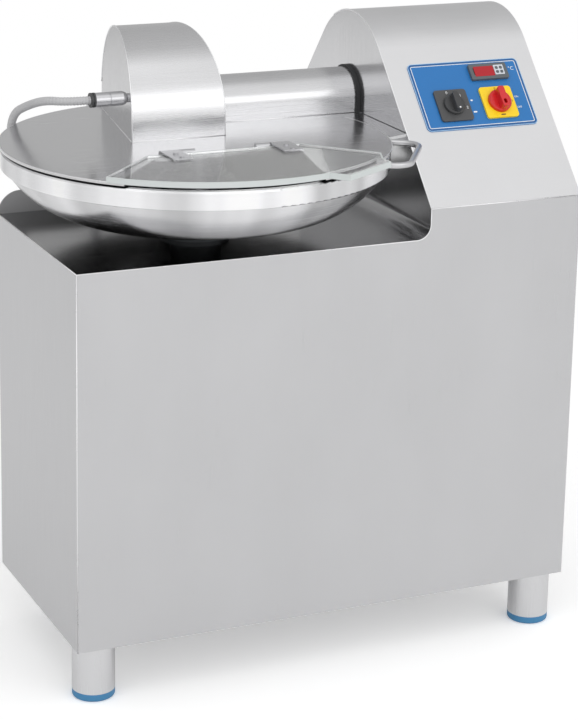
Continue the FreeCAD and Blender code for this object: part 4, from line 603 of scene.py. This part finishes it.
# %% A tube about a line
def tube_points(line, radii, sides, guide):
    """Rings about a line: each is a circle square to the line, of its own radius."""
    tangent = np.gradient(line, axis=0)
    tangent /= np.linalg.norm(tangent, axis=1, keepdims=True)
    side = np.cross(tangent, guide)
    side /= np.linalg.norm(side, axis=1, keepdims=True)
    up = np.cross(side, tangent)
    turn = np.linspace(0, 2 * np.pi, sides, endpoint=False)
    ring = (np.cos(turn)[None, :, None] * side[:, None, :]
            + np.sin(turn)[None, :, None] * up[:, None, :])
    return line[:, None, :] + ring * np.asarray(radii)[:, None, None]


def tube_faces(rows, sides):
    """Faces of a tube of rings, turned outwards, with a cap at each end."""
    faces = grid_faces(rows, sides, wrap_columns=True).tolist()
    faces += [list(range(sides))[::-1], list(range((rows - 1) * sides, rows * sides))]
    return [face[::-1] for face in faces]


# %% Ribbed tube of the hose
RIB_DEPTH, RIB_ROUNDNESS, HOSE_SIDES = 0.0011, 0.6, 24
HOSE_GUIDE = np.array([0.5, 0.5, 0.707])


def hose_piece():
    """Radius = full radius less a shallow valley between ribs, one rib per pitch."""
    swing = 0.5 + 0.5 * np.cos(2 * np.pi * hose_reach / RIB_PITCH)
    radii = HOSE_DIAMETER / 2 - RIB_DEPTH * (1 - swing ** RIB_ROUNDNESS)
    points = tube_points(hose_line, radii, HOSE_SIDES, HOSE_GUIDE)
    return add_piece("ribbed_hose", points, tube_faces(len(points), HOSE_SIDES),
                     finishes["grey_plastic"])


ribbed_hose = hose_piece()
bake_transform(ribbed_hose)
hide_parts("hose")

# %% [markdown]
# ## Bright edges and welded seams
#
# Where two sheets of steel meet, the weld is ground round and polished, and it catches the
# light as a thin bright line. Such a line is a very thin tube that lies half sunk in the edge.
# Each path is worked out from the part's own sizes: straight runs and arcs of a circle. An arc
# is given by its first and last angle in degrees, and by its number of points.

# %% A bead along a path
BEAD_SIDES = 8
ACROSS, INWARD, UPWARD = (1, 0, 0), (0, 1, 0), (0, 0, 1)


def bead(name, path, radius, body, guide):
    """A thin round tube of one radius along a path; the guide is square to the path."""
    path = np.asarray(path, float)
    rings = tube_points(path, np.full(len(path), radius), BEAD_SIDES, np.array(guide))
    piece = add_piece(name, rings, tube_faces(len(rings), BEAD_SIDES), edge_steel)
    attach(piece, body)


def arc(centre, radius, start, end, steps=40):
    """Two columns, centre + radius times (cosine, sine), for angles in degrees."""
    turn = np.radians(np.linspace(start, end, steps))
    return np.stack([centre[0] + radius * np.cos(turn), centre[1] + radius * np.sin(turn)], 1)


# %% Seams of the hood
LID_TOP, LID_RADIUS = 0.937, 0.3385
HOOD_LEFT, HOOD_RIGHT, HOOD_TAPER = 0.111, 0.062, math.tan(math.radians(9.7))
HOOD_RADIUS, HOOD_Y, HOOD_Z, HOOD_ARCH = 0.146, 0.163, 0.966, (180, 8)
HOOD_FRONT, HOOD_REAR = HOOD_Y - HOOD_RADIUS, HOOD_Y + HOOD_RADIUS
COVER_Y, COVER_HALF, COVER_END = 0.167, 0.050, 0.362
THIN_BEAD, BEAD, BROAD_BEAD = 0.0009, 0.0011, 0.0012


def hood_edge(side):
    """Up the front edge and over the arch; x leans in with depth, by the hood's taper."""
    over = arc((HOOD_Y, HOOD_Z), HOOD_RADIUS, *HOOD_ARCH)
    profile = np.r_[[[HOOD_FRONT, LID_TOP]], over]
    lean = (profile[:, 0] - HOOD_FRONT) * HOOD_TAPER
    across = lean - HOOD_LEFT if side < 0 else HOOD_RIGHT - lean
    return np.c_[across, profile]


cover_front = COVER_Y - COVER_HALF
cover_start = HOOD_RIGHT - (cover_front - HOOD_FRONT) * HOOD_TAPER
rear_left = (HOOD_REAR - HOOD_FRONT) * HOOD_TAPER - HOOD_LEFT
front_left = (-HOOD_LEFT, HOOD_FRONT, LID_TOP)
hood_beads = {
    "hood_seam_left": (hood_edge(-1), BEAD, ACROSS),
    "hood_seam_right": (hood_edge(1), THIN_BEAD, ACROSS),
    "hood_foot_left": ([front_left, (rear_left, HOOD_REAR, LID_TOP)], THIN_BEAD, UPWARD),
    "hood_foot_front": ([front_left, (HOOD_RIGHT, HOOD_FRONT, LID_TOP)], BROAD_BEAD, UPWARD),
    "cover_foot": ([(cover_start, cover_front, LID_TOP), (COVER_END, cover_front, LID_TOP)],
                   BROAD_BEAD, UPWARD),
}
for name, (path, radius, guide) in hood_beads.items():
    bead(name, np.array(path) + bowl_axis, radius, "lid", guide)

# %% Rim of the lid, an arc at its left and one at its right
RIM_DROP = 0.0006
RIM_ARCS = {"lid_rim_left": (228, 60, 150), "lid_rim_right": (-73, 15, 80)}
for name, turns in RIM_ARCS.items():
    plan = arc((0, 0), LID_RADIUS, *turns)
    rim = np.c_[plan, np.full(len(plan), LID_TOP - RIM_DROP)] + bowl_axis
    bead(name, rim, THIN_BEAD, "lid", UPWARD)

# %% Edges of the cabinet
WALL_X, CABINET_WIDE, SIDE_DEEP, FOOT_Z = 0.650, 0.950, 0.420, 0.100
DECK_Z, BEND, FOLD_Z, FOLD_OUT = 0.770, 0.026, 0.82445, 0.0004
CONSOLE_RADIUS, CONSOLE_Y, CONSOLE_Z, CONSOLE_ARCH = 0.152, 0.336, 0.967, (137.6, 60, 30)
bend_arc = arc((WALL_X - BEND, DECK_Z + BEND), BEND, -90, 0, 16)
front_top = np.r_[[[0.0, DECK_Z]], bend_arc, [[WALL_X, FOLD_Z]]]
front_top = np.c_[front_top[:, 0], np.zeros(len(front_top)), front_top[:, 1]]
console_top = arc((CONSOLE_Y, CONSOLE_Z), CONSOLE_RADIUS, *CONSOLE_ARCH)
console_left = np.r_[[[0.0, FOLD_Z]], console_top]
console_left = np.c_[np.full(len(console_left), WALL_X), console_left]
cabinet_edges = {
    "edge_front_top": (front_top, INWARD),
    "edge_console_left": (console_left, ACROSS),
    "edge_front_left": ([(0, 0, FOOT_Z), (0, 0, DECK_Z)], ACROSS),
    "edge_left_top": ([(0, 0, DECK_Z), (0, SIDE_DEEP, DECK_Z)], ACROSS),
    "edge_fold": ([(WALL_X, -FOLD_OUT, FOLD_Z), (CABINET_WIDE, -FOLD_OUT, FOLD_Z)], UPWARD),
}
for name, (path, guide) in cabinet_edges.items():
    bead(name, np.array(path) + corner, BEAD, "cabinet", guide)

# %% [markdown]
# ## Sawn edge of the clear cover
#
# A clear sheet lets light run inside it, and its sawn edge is rough, so the edge glows pale
# while the face stays clear. The edge gets its own thin frosted band that follows the outline:
# one long arc at the front, then six straight corners. Its pale colour is partly the frosted cut
# and partly painted glow of the light inside the sheet. The band folds over the sheet's top as
# a narrow lip, a painted highlight along the top edge, which is wider at the straight corners.

# %% The outline of the cover
cover_low, cover_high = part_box("clear_cover")
COVER_RADIUS, ARC_LEFT, ARC_RIGHT, ARC_STEPS = 0.3505, -0.252, 0.096, 70
STRAIGHT_CORNERS = [(0.121, -0.364), (0.226, -0.300), (0.224, -0.275), (0.240, -0.234),
                    (0.138, -0.128), (-0.138, -0.128)]
arc_start = -math.degrees(math.acos(ARC_LEFT / COVER_RADIUS))
arc_end = -math.degrees(math.acos(ARC_RIGHT / COVER_RADIUS))
cover_outline = np.r_[arc((0, 0), COVER_RADIUS, arc_start, arc_end, ARC_STEPS),
                      STRAIGHT_CORNERS]
print("cover outline", len(cover_outline), "points from", round(cover_low.z, 4), "to",
      round(cover_high.z, 4))

# %% The band round the cover
HAIR, BAND, BAND_FOOT, BAND_TOP, LIP_FOOT = 0.00005, 0.0003, 0.0002, 0.0001, 0.00004
# The lip over the sheet's top is a painted highlight of the top edge; these are its widths.
ARC_HIGHLIGHT_LIP, CORNER_HIGHLIGHT_LIP = 0.0009, 0.0030
highlight_lip = np.full((len(cover_outline), 1), ARC_HIGHLIGHT_LIP)
highlight_lip[-len(STRAIGHT_CORNERS):] = CORNER_HIGHLIGHT_LIP


def grown(outline, step):
    """Each corner moves outwards so that both its sides shift by the step."""
    ahead = np.roll(outline, -1, axis=0) - outline
    ahead /= np.linalg.norm(ahead, axis=1, keepdims=True)
    behind = np.roll(ahead, 1, axis=0)
    out_ahead = np.stack([ahead[:, 1], -ahead[:, 0]], 1)
    out_behind = np.stack([behind[:, 1], -behind[:, 0]], 1)
    middle = out_ahead + out_behind
    middle /= (1 + (out_ahead * out_behind).sum(1))[:, None]
    return outline + middle * step


def edge_band():
    """A closed loop of a thin wall: the outline grown by a hair, from foot to top and the painted
    highlight lip.
    """
    foot, top, fold = cover_low.z + BAND_FOOT, cover_high.z + BAND_TOP, cover_high.z + LIP_FOOT
    rows = [(HAIR, foot), (BAND, foot), (BAND, top), (-highlight_lip, top), (-highlight_lip, fold), (HAIR, fold)]
    rings = [np.c_[grown(cover_outline, step), np.full(len(cover_outline), level)]
             for step, level in rows]
    points = np.stack(rings) + bowl_axis
    faces = grid_faces(len(rows), len(cover_outline), wrap_rows=True, wrap_columns=True)
    piece = add_piece("cover_sawn_edge", points, faces[:, ::-1], sawn_edge_and_painted_glow, smooth=False)
    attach(piece, "loading_cover")


edge_band()

# %% [markdown]
# ## Marks on the slanted panel
#
# The switch panel is printed: a fine white border, numbers round the speed switch, and small
# marks for the main switch. They are thin raised pieces on the slope. The slope has two axes,
# one to the right and one up the slope, and both follow from the angle of its slant.

# %% Axes of the slope
SLANT = math.radians(42.4)
slope_right = np.array([1.0, 0.0, 0.0])
slope_up = np.array([0.0, math.sin(SLANT), math.cos(SLANT)])
slope_out = np.array([0.0, -math.cos(SLANT), math.sin(SLANT)])
slope_origin = corner + np.array([WALL_X, 0.0, FOLD_Z])


def out_level(node):
    """How far a node's highest point stands out of the slope."""
    return float(((mesh_points(nodes[node].data) - slope_origin) @ slope_out).max())


def on_slope(origin, across, up, out):
    """A place on the slope: steps right, up the slope and out of it from an origin."""
    across, up, out = (np.asarray(value, float)[..., None] for value in (across, up, out))
    return origin + across * slope_right + up * slope_up + out * slope_out


panel_level = out_level("control_panel")
print("slope goes up along", slope_up.round(4), "panel stands out", round(panel_level, 4))

# %% The border line
PANEL_CENTRE, PANEL_WIDE, PANEL_HIGH = (0.154, 0.221), 0.224, 0.140
PANEL_RADIUS, LEAST_RADIUS = 0.009, 0.0035


def rounded_outline(wide, high, radius, steps=10):
    """Corners of a rectangle centred on zero, each replaced by a quarter circle."""
    turn = np.linspace(0, np.pi / 2, steps)
    centres = [(1, 1), (-1, 1), (-1, -1), (1, -1)]
    points = [np.stack([sx * (wide / 2 - radius) + radius * np.cos(turn + quarter * np.pi / 2),
                        sy * (high / 2 - radius) + radius * np.sin(turn + quarter * np.pi / 2)],
                       1) for quarter, (sx, sy) in enumerate(centres)]
    return np.concatenate(points)


def border_line(name, inset, width, out, material):
    """A flat band between two nested rounded outlines, with a thin rim below it."""
    wide, high = PANEL_WIDE - 2 * inset, PANEL_HIGH - 2 * inset
    radius = max(PANEL_RADIUS - inset, LEAST_RADIUS)
    outer = rounded_outline(wide, high, radius)
    inner = rounded_outline(wide - 2 * width, high - 2 * width, radius - width)
    centre = on_slope(slope_origin, *PANEL_CENTRE, panel_level)
    rows = [(outer, 0.0), (outer, out), (inner, out), (inner, 0.0)]
    points = np.stack([on_slope(centre, ring[:, 0], ring[:, 1], np.full(len(ring), level))
                       for ring, level in rows])
    faces = grid_faces(len(rows), len(outer), wrap_rows=True, wrap_columns=True)
    piece = add_piece(name, points, faces, material, smooth=False)
    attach(piece, "cabinet")


# The pale blue rim at the panel's outer edge is a painted highlight on that edge; the deep blue
# band and the white line are print.
painted_edge_highlight = moulded("painted_edge_highlight", (0.42, 0.62, 0.82), 0.45, depth=0.04)
deep_blue = moulded("deep_blue", (0.012, 0.105, 0.31), 0.42, depth=0.05)
border_line("panel_edge_highlight", inset=0.0001, width=0.0011, out=0.00010, material=painted_edge_highlight)
border_line("panel_band", inset=0.0013, width=0.0040, out=0.00008, material=deep_blue)
border_line("panel_line", inset=0.0054, width=0.0012, out=0.00014, material=white_ink)

# %% Numbers and words
INK = 0.0001
SPEED_AT, MAINS_AT, DEGREE_AT = (0.107, 0.1995), (0.199, 0.1995), (0.2485, 0.2690)
SPEED_DIAL, SPEED_TURNS, SPEED_SIZE = 0.0265, (105, 45, -15), 0.0075
MAINS_DIAL, MAINS_TURNS, MAINS_SIZE = 0.0275, (90, 0), 0.0065
WORDS_RIGHT, WORDS_SIZE, DEGREE_SIZE = 0.0405, 0.0055, 0.010


def flat_text(name, words, size, origin, material):
    """Letters as a thin mesh laid on the slope, centred on the origin."""
    curve = bpy.data.curves.new(name, "FONT")
    curve.body = words
    curve.size = size
    curve.extrude = INK
    curve.align_x = "CENTER"
    curve.align_y = "CENTER"
    mesh = mesh_of_curve(curve)
    mesh.vertices.foreach_set("co", on_slope(origin, *mesh_points(mesh).T).ravel())
    mesh.materials.clear()
    mesh.materials.append(material)
    mesh.name = name
    piece = bpy.data.objects.new(name, mesh)
    bpy.context.scene.collection.objects.link(piece)
    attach(piece, "cabinet")


def dial_numbers(name, face, radius, turns, size, material):
    """The numbers 0, 1, 2 round a switch, one at each angle in degrees."""
    for number, angle in enumerate(map(math.radians, turns)):
        place = on_slope(face, radius * math.cos(angle), radius * math.sin(angle), INK)
        flat_text("%s_%d" % (name, number), str(number), size, place, material)


speed_face = on_slope(slope_origin, *SPEED_AT, out_level("speed_plate"))
mains_face = on_slope(slope_origin, *MAINS_AT, out_level("mains_plate"))
dial_numbers("speed_mark", speed_face, SPEED_DIAL, SPEED_TURNS, SPEED_SIZE, white_ink)
dial_numbers("mains_mark", mains_face, MAINS_DIAL, MAINS_TURNS, MAINS_SIZE, dark_ink)
ink_level = panel_level - out_level("mains_plate") + INK
for words, rise in (("ON", 0.010), ("OFF", -0.012)):
    place = on_slope(mains_face, WORDS_RIGHT, rise, ink_level)
    flat_text("panel_" + words.lower(), words, WORDS_SIZE, place, white_ink)
degree_place = on_slope(slope_origin, *DEGREE_AT, panel_level + INK)
flat_text("degree_mark", "\u00b0C", DEGREE_SIZE, degree_place, white_ink)
print("speed plate", speed_face.round(4), "main plate", mains_face.round(4))

# %% [markdown]
# ## The thermometer's face
#
# The instrument has a red window on its left and a pale field with its keys on the right.
# Both are thin plates with a rounded outline that lie on the grey bezel. Two short marks
# beside the speed switch stand for slow and fast: a small one and a larger one.

# %% Thin plates on the slope
METER_AT, WINDOW_AT, FIELD_AT = (0.1986, 0.2636), (-0.0095, 0.0), (0.0215, 0.0015)
KEYS_AT, KEY_STEP = (0.0172, -0.0030), 0.0086
SLOW_AT, FAST_AT, POINTER_BELOW = (0.1475, 0.2085), (0.1475, 0.1845), 0.0155
WINDOW, FIELD, KEY = (0.0405, 0.0205, 0.0012), (0.0195, 0.0200, 0.0012), (0.0058, 0.0058, 0.0020)
SLOW, FAST, POINTER = (0.0045, 0.0030, 0.0012), (0.0072, 0.0030, 0.0012), (0.0032, 0.0030, 0.0014)
FACE_GAUGE, KEY_GAUGE = 0.00025, 0.0005


def thin_plate(name, centre, size, gauge, material, body="cabinet"):
    """A flat plate: a rounded outline of size (width, height, radius), closed below."""
    outline = rounded_outline(*size)
    rows = [on_slope(centre, outline[:, 0], outline[:, 1], np.full(len(outline), level))
            for level in (0.0, gauge)]
    count = len(outline)
    faces = grid_faces(2, count, wrap_columns=True).tolist()
    faces += [list(range(count))[::-1], list(range(count, 2 * count))]
    piece = add_piece(name, np.stack(rows), faces, material, smooth=False)
    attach(piece, body)
    return piece


meter_face = on_slope(slope_origin, *METER_AT, out_level("thermometer"))
key_white = moulded("key_white", (0.62, 0.65, 0.70), 0.4, depth=0.05)
window = thin_plate("display_window", on_slope(meter_face, *WINDOW_AT, 0.0), WINDOW, FACE_GAUGE,
                    finishes["red_display"])
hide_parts("thermometer_window")
thin_plate("key_field", on_slope(meter_face, *FIELD_AT, 0.0), FIELD, FACE_GAUGE, key_white)
for number in range(4):
    across = KEYS_AT[0] + KEY_STEP * (number % 2)
    up = KEYS_AT[1] + KEY_STEP * (number // 2)
    thin_plate("meter_key_%d" % number, on_slope(meter_face, across, up, FACE_GAUGE), KEY,
               KEY_GAUGE, bezel_grey)
for name, place, size in (("slow_mark", SLOW_AT, SLOW), ("fast_mark", FAST_AT, FAST)):
    thin_plate(name, on_slope(slope_origin, *place, panel_level), size, INK, white_ink)
knob_level = out_level("speed_knob")
pointer = on_slope(slope_origin, SPEED_AT[0], SPEED_AT[1] - POINTER_BELOW, knob_level)
thin_plate("knob_pointer", pointer, POINTER, INK, white_ink, "speed_switch")
print("knob stands out", round(knob_level, 4), "meter", round(out_level("thermometer"), 4))

# %% Locking tongue of the main switch
LOCK_UP, TONGUE_GAUGE, SLOT_GAUGE = -0.0271, 0.0008, 0.00008
TONGUE, SLOT = (0.0270, 0.0090, 0.0030), (0.0095, 0.0022, 0.0009)
thin_plate("lock_tongue", on_slope(mains_face, 0.0, LOCK_UP, 0.0), TONGUE, TONGUE_GAUGE,
           finishes["yellow_plastic"])
# The dark plate stands in for the slot's opening: painted shade where the tongue is cut through.
thin_plate("lock_slot_shade", on_slope(mains_face, 0.0, LOCK_UP, TONGUE_GAUGE), SLOT, SLOT_GAUGE,
           dark_ink)

# %% [markdown]
# ## Floor and light
#
# The machine stands in a plain pale studio. The floor and the world are white where the
# camera sees them. Most light comes from the world: it is bright in front of the machine and
# greyer behind it, so that the steel shows soft bands. A wide lamp high on the left and a
# small one at the front right add a little shape.

# %% The floor
FLOOR_WHITE, FLOOR_ROUGHNESS, FLOOR_HALF = 0.92, 0.9, 6.0
SEEN_LIFT, GLOSSY_LIFT, FADE_START, FADE_END = 0.28, 0.12, 1.0, 2.6


def seen_rays(tree, path):
    """One for rays from the camera and for those that pass through glass, else zero."""
    return math_node(tree, "MAXIMUM", path["Is Camera Ray"], path["Is Transmission Ray"])


def mix_shaders(tree, share, first, second):
    """The first shader where the share is zero, the second where it is one."""
    mix = tree.nodes.new("ShaderNodeMixShader")
    tree.links.new(share, mix.inputs["Fac"])
    tree.links.new(first.outputs[0], mix.inputs[1])
    tree.links.new(second.outputs[0], mix.inputs[2])
    return mix.outputs[0]


def plain_floor():
    """A wide plane that keeps the object's shadow and fades to white for the camera."""
    material, tree, shader = new_material("studio_floor")
    shader.inputs["Base Color"].default_value = (FLOOR_WHITE, FLOOR_WHITE, FLOOR_WHITE, 1)
    shader.inputs["Roughness"].default_value = FLOOR_ROUGHNESS
    shader.inputs["Emission Color"].default_value = (1, 1, 1, 1)
    path = tree.nodes.new("ShaderNodeLightPath").outputs
    seen = seen_rays(tree, path)
    lift = summed(tree, 0.0, (seen, SEEN_LIFT), (path["Is Glossy Ray"], GLOSSY_LIFT))
    tree.links.new(lift, shader.inputs["Emission Strength"])
    white = tree.nodes.new("ShaderNodeEmission")
    fade = tree.nodes.new("ShaderNodeMapRange")
    fade.interpolation_type = "SMOOTHSTEP"
    fade.inputs["From Min"].default_value = FADE_START
    fade.inputs["From Max"].default_value = FADE_END
    tree.links.new(vector_node(tree, "LENGTH", object_place(tree)), fade.inputs["Value"])
    share = math_node(tree, "MULTIPLY", fade.outputs["Result"], seen)
    tree.links.new(mix_shaders(tree, share, shader, white),
                   tree.nodes["Material Output"].inputs["Surface"])
    points = [(x * FLOOR_HALF, y * FLOOR_HALF, 0) for x, y in ((-1, -1), (1, -1), (1, 1), (-1, 1))]
    add_piece("floor", points, [(0, 1, 2, 3)], material, smooth=False)


plain_floor()

# %% The world
SKY = ((0.0, 0.88), (0.175, 0.80), (0.35, 0.73), (0.60, 0.48), (0.95, 0.41))
SKY_LEVEL = 1.35


def plain_world():
    """White to the camera; to the object a sky that is bright in front and greyer behind."""
    world = bpy.data.worlds.new("studio")
    bpy.context.scene.world = world
    world.use_nodes = True
    tree = world.node_tree
    tree.nodes.clear()
    out = tree.nodes.new("ShaderNodeOutputWorld")
    sky = tree.nodes.new("ShaderNodeBackground")
    sky.inputs["Strength"].default_value = SKY_LEVEL
    white = tree.nodes.new("ShaderNodeBackground")
    white.inputs["Color"].default_value = (1, 1, 1, 1)
    place = tree.nodes.new("ShaderNodeTexCoord")
    split = tree.nodes.new("ShaderNodeSeparateXYZ")
    tree.links.new(place.outputs["Generated"], split.inputs[0])
    ramp = tree.nodes.new("ShaderNodeValToRGB")
    ramp.color_ramp.interpolation = "EASE"
    tree.links.new(summed(tree, 0.5, (split.outputs["Y"], 0.5)), ramp.inputs["Fac"])
    stops = ramp.color_ramp.elements
    stops[0].position, stops[1].position = SKY[0][0], SKY[-1][0]
    for position, _ in SKY[1:-1]:
        stops.new(position)
    for stop, (_, level) in zip(stops, SKY):
        stop.color = (level, level, level, 1)
    tree.links.new(ramp.outputs["Color"], sky.inputs["Color"])
    seen = seen_rays(tree, tree.nodes.new("ShaderNodeLightPath").outputs)
    tree.links.new(mix_shaders(tree, seen, sky, white), out.inputs["Surface"])


plain_world()
print("sky with", len(SKY), "greys from front to back")

# %% The lamps
LAMPS = {"key": ((1.0, -2.9, 1.9), (-0.1, 0, 0.8), 1.3, 5),
         "overhead": ((-0.8, -1.2, 3.2), (0, 0, 0.7), 3.0, 8)}


def standing(right, up, back, place):
    """The matrix of a thing at a place, with its own X, Y and Z along three directions."""
    matrix = np.eye(4)
    matrix[:3] = np.stack([right, up, back, place], 1)
    return Matrix(matrix.tolist())


def looking(place, aim):
    """The matrix of a lamp at a place, with its own -Z towards the aim."""
    back = place - aim
    back = back / np.linalg.norm(back)
    right = np.cross([0, 0, 1], back)
    right = right / np.linalg.norm(right)
    return standing(right, np.cross(back, right), back, place)


def soft_lamp(name, place, aim, size, watts):
    """A large square lamp that looks from its place at its aim."""
    light = bpy.data.lights.new(name, "AREA")
    light.size = size
    light.energy = watts
    lamp = bpy.data.objects.new(name, light)
    bpy.context.scene.collection.objects.link(lamp)
    lamp.matrix_world = looking(np.array(place), np.array(aim))


for name, (place, aim, size, watts) in LAMPS.items():
    soft_lamp(name, place, aim, size, watts)
print(len(LAMPS), "lamps set")

# %% [markdown]
# ## The camera
#
# The camera stands far off with a long lens, a little to the left and above, so the cabinet's
# front and left side both show. It looks down slightly, and a small shift frames the legs.

# %% Set the camera
IMAGE = (578, 720)
SHIFT_PIXELS = 140
CAMERA = {"focal": 2332.80, "place": (-1.20037, -3.46456, 1.82338), "yaw": 0.42760,
          "pitch": 0.25541, "roll": 0.01988}


def camera_matrix(place, yaw, pitch, roll):
    """Looks along +Y turned by yaw to the right and pitch down, then rolls about its line."""
    ahead = np.array([math.sin(yaw) * math.cos(pitch), math.cos(yaw) * math.cos(pitch),
                      -math.sin(pitch)])
    level = np.array([math.cos(yaw), -math.sin(yaw), 0.0])
    rise = np.cross(level, ahead)
    right = math.cos(roll) * level + math.sin(roll) * rise
    up = math.cos(roll) * rise - math.sin(roll) * level
    return standing(right, up, -ahead, place)


camera_data = bpy.data.cameras.new("camera")
camera_data.sensor_width = 36.0
camera_data.lens = CAMERA["focal"] / IMAGE[1] * camera_data.sensor_width
camera_data.shift_y = -SHIFT_PIXELS / IMAGE[1]
camera_data.clip_end = 50.0
camera = bpy.data.objects.new("camera", camera_data)
bpy.context.scene.collection.objects.link(camera)
camera.matrix_world = camera_matrix(np.array(CAMERA["place"]) + corner, CAMERA["yaw"],
                                    CAMERA["pitch"], CAMERA["roll"])
bpy.context.scene.camera = camera
bpy.context.scene.view_settings.view_transform = "Standard"
print("lens", round(camera_data.lens, 2))
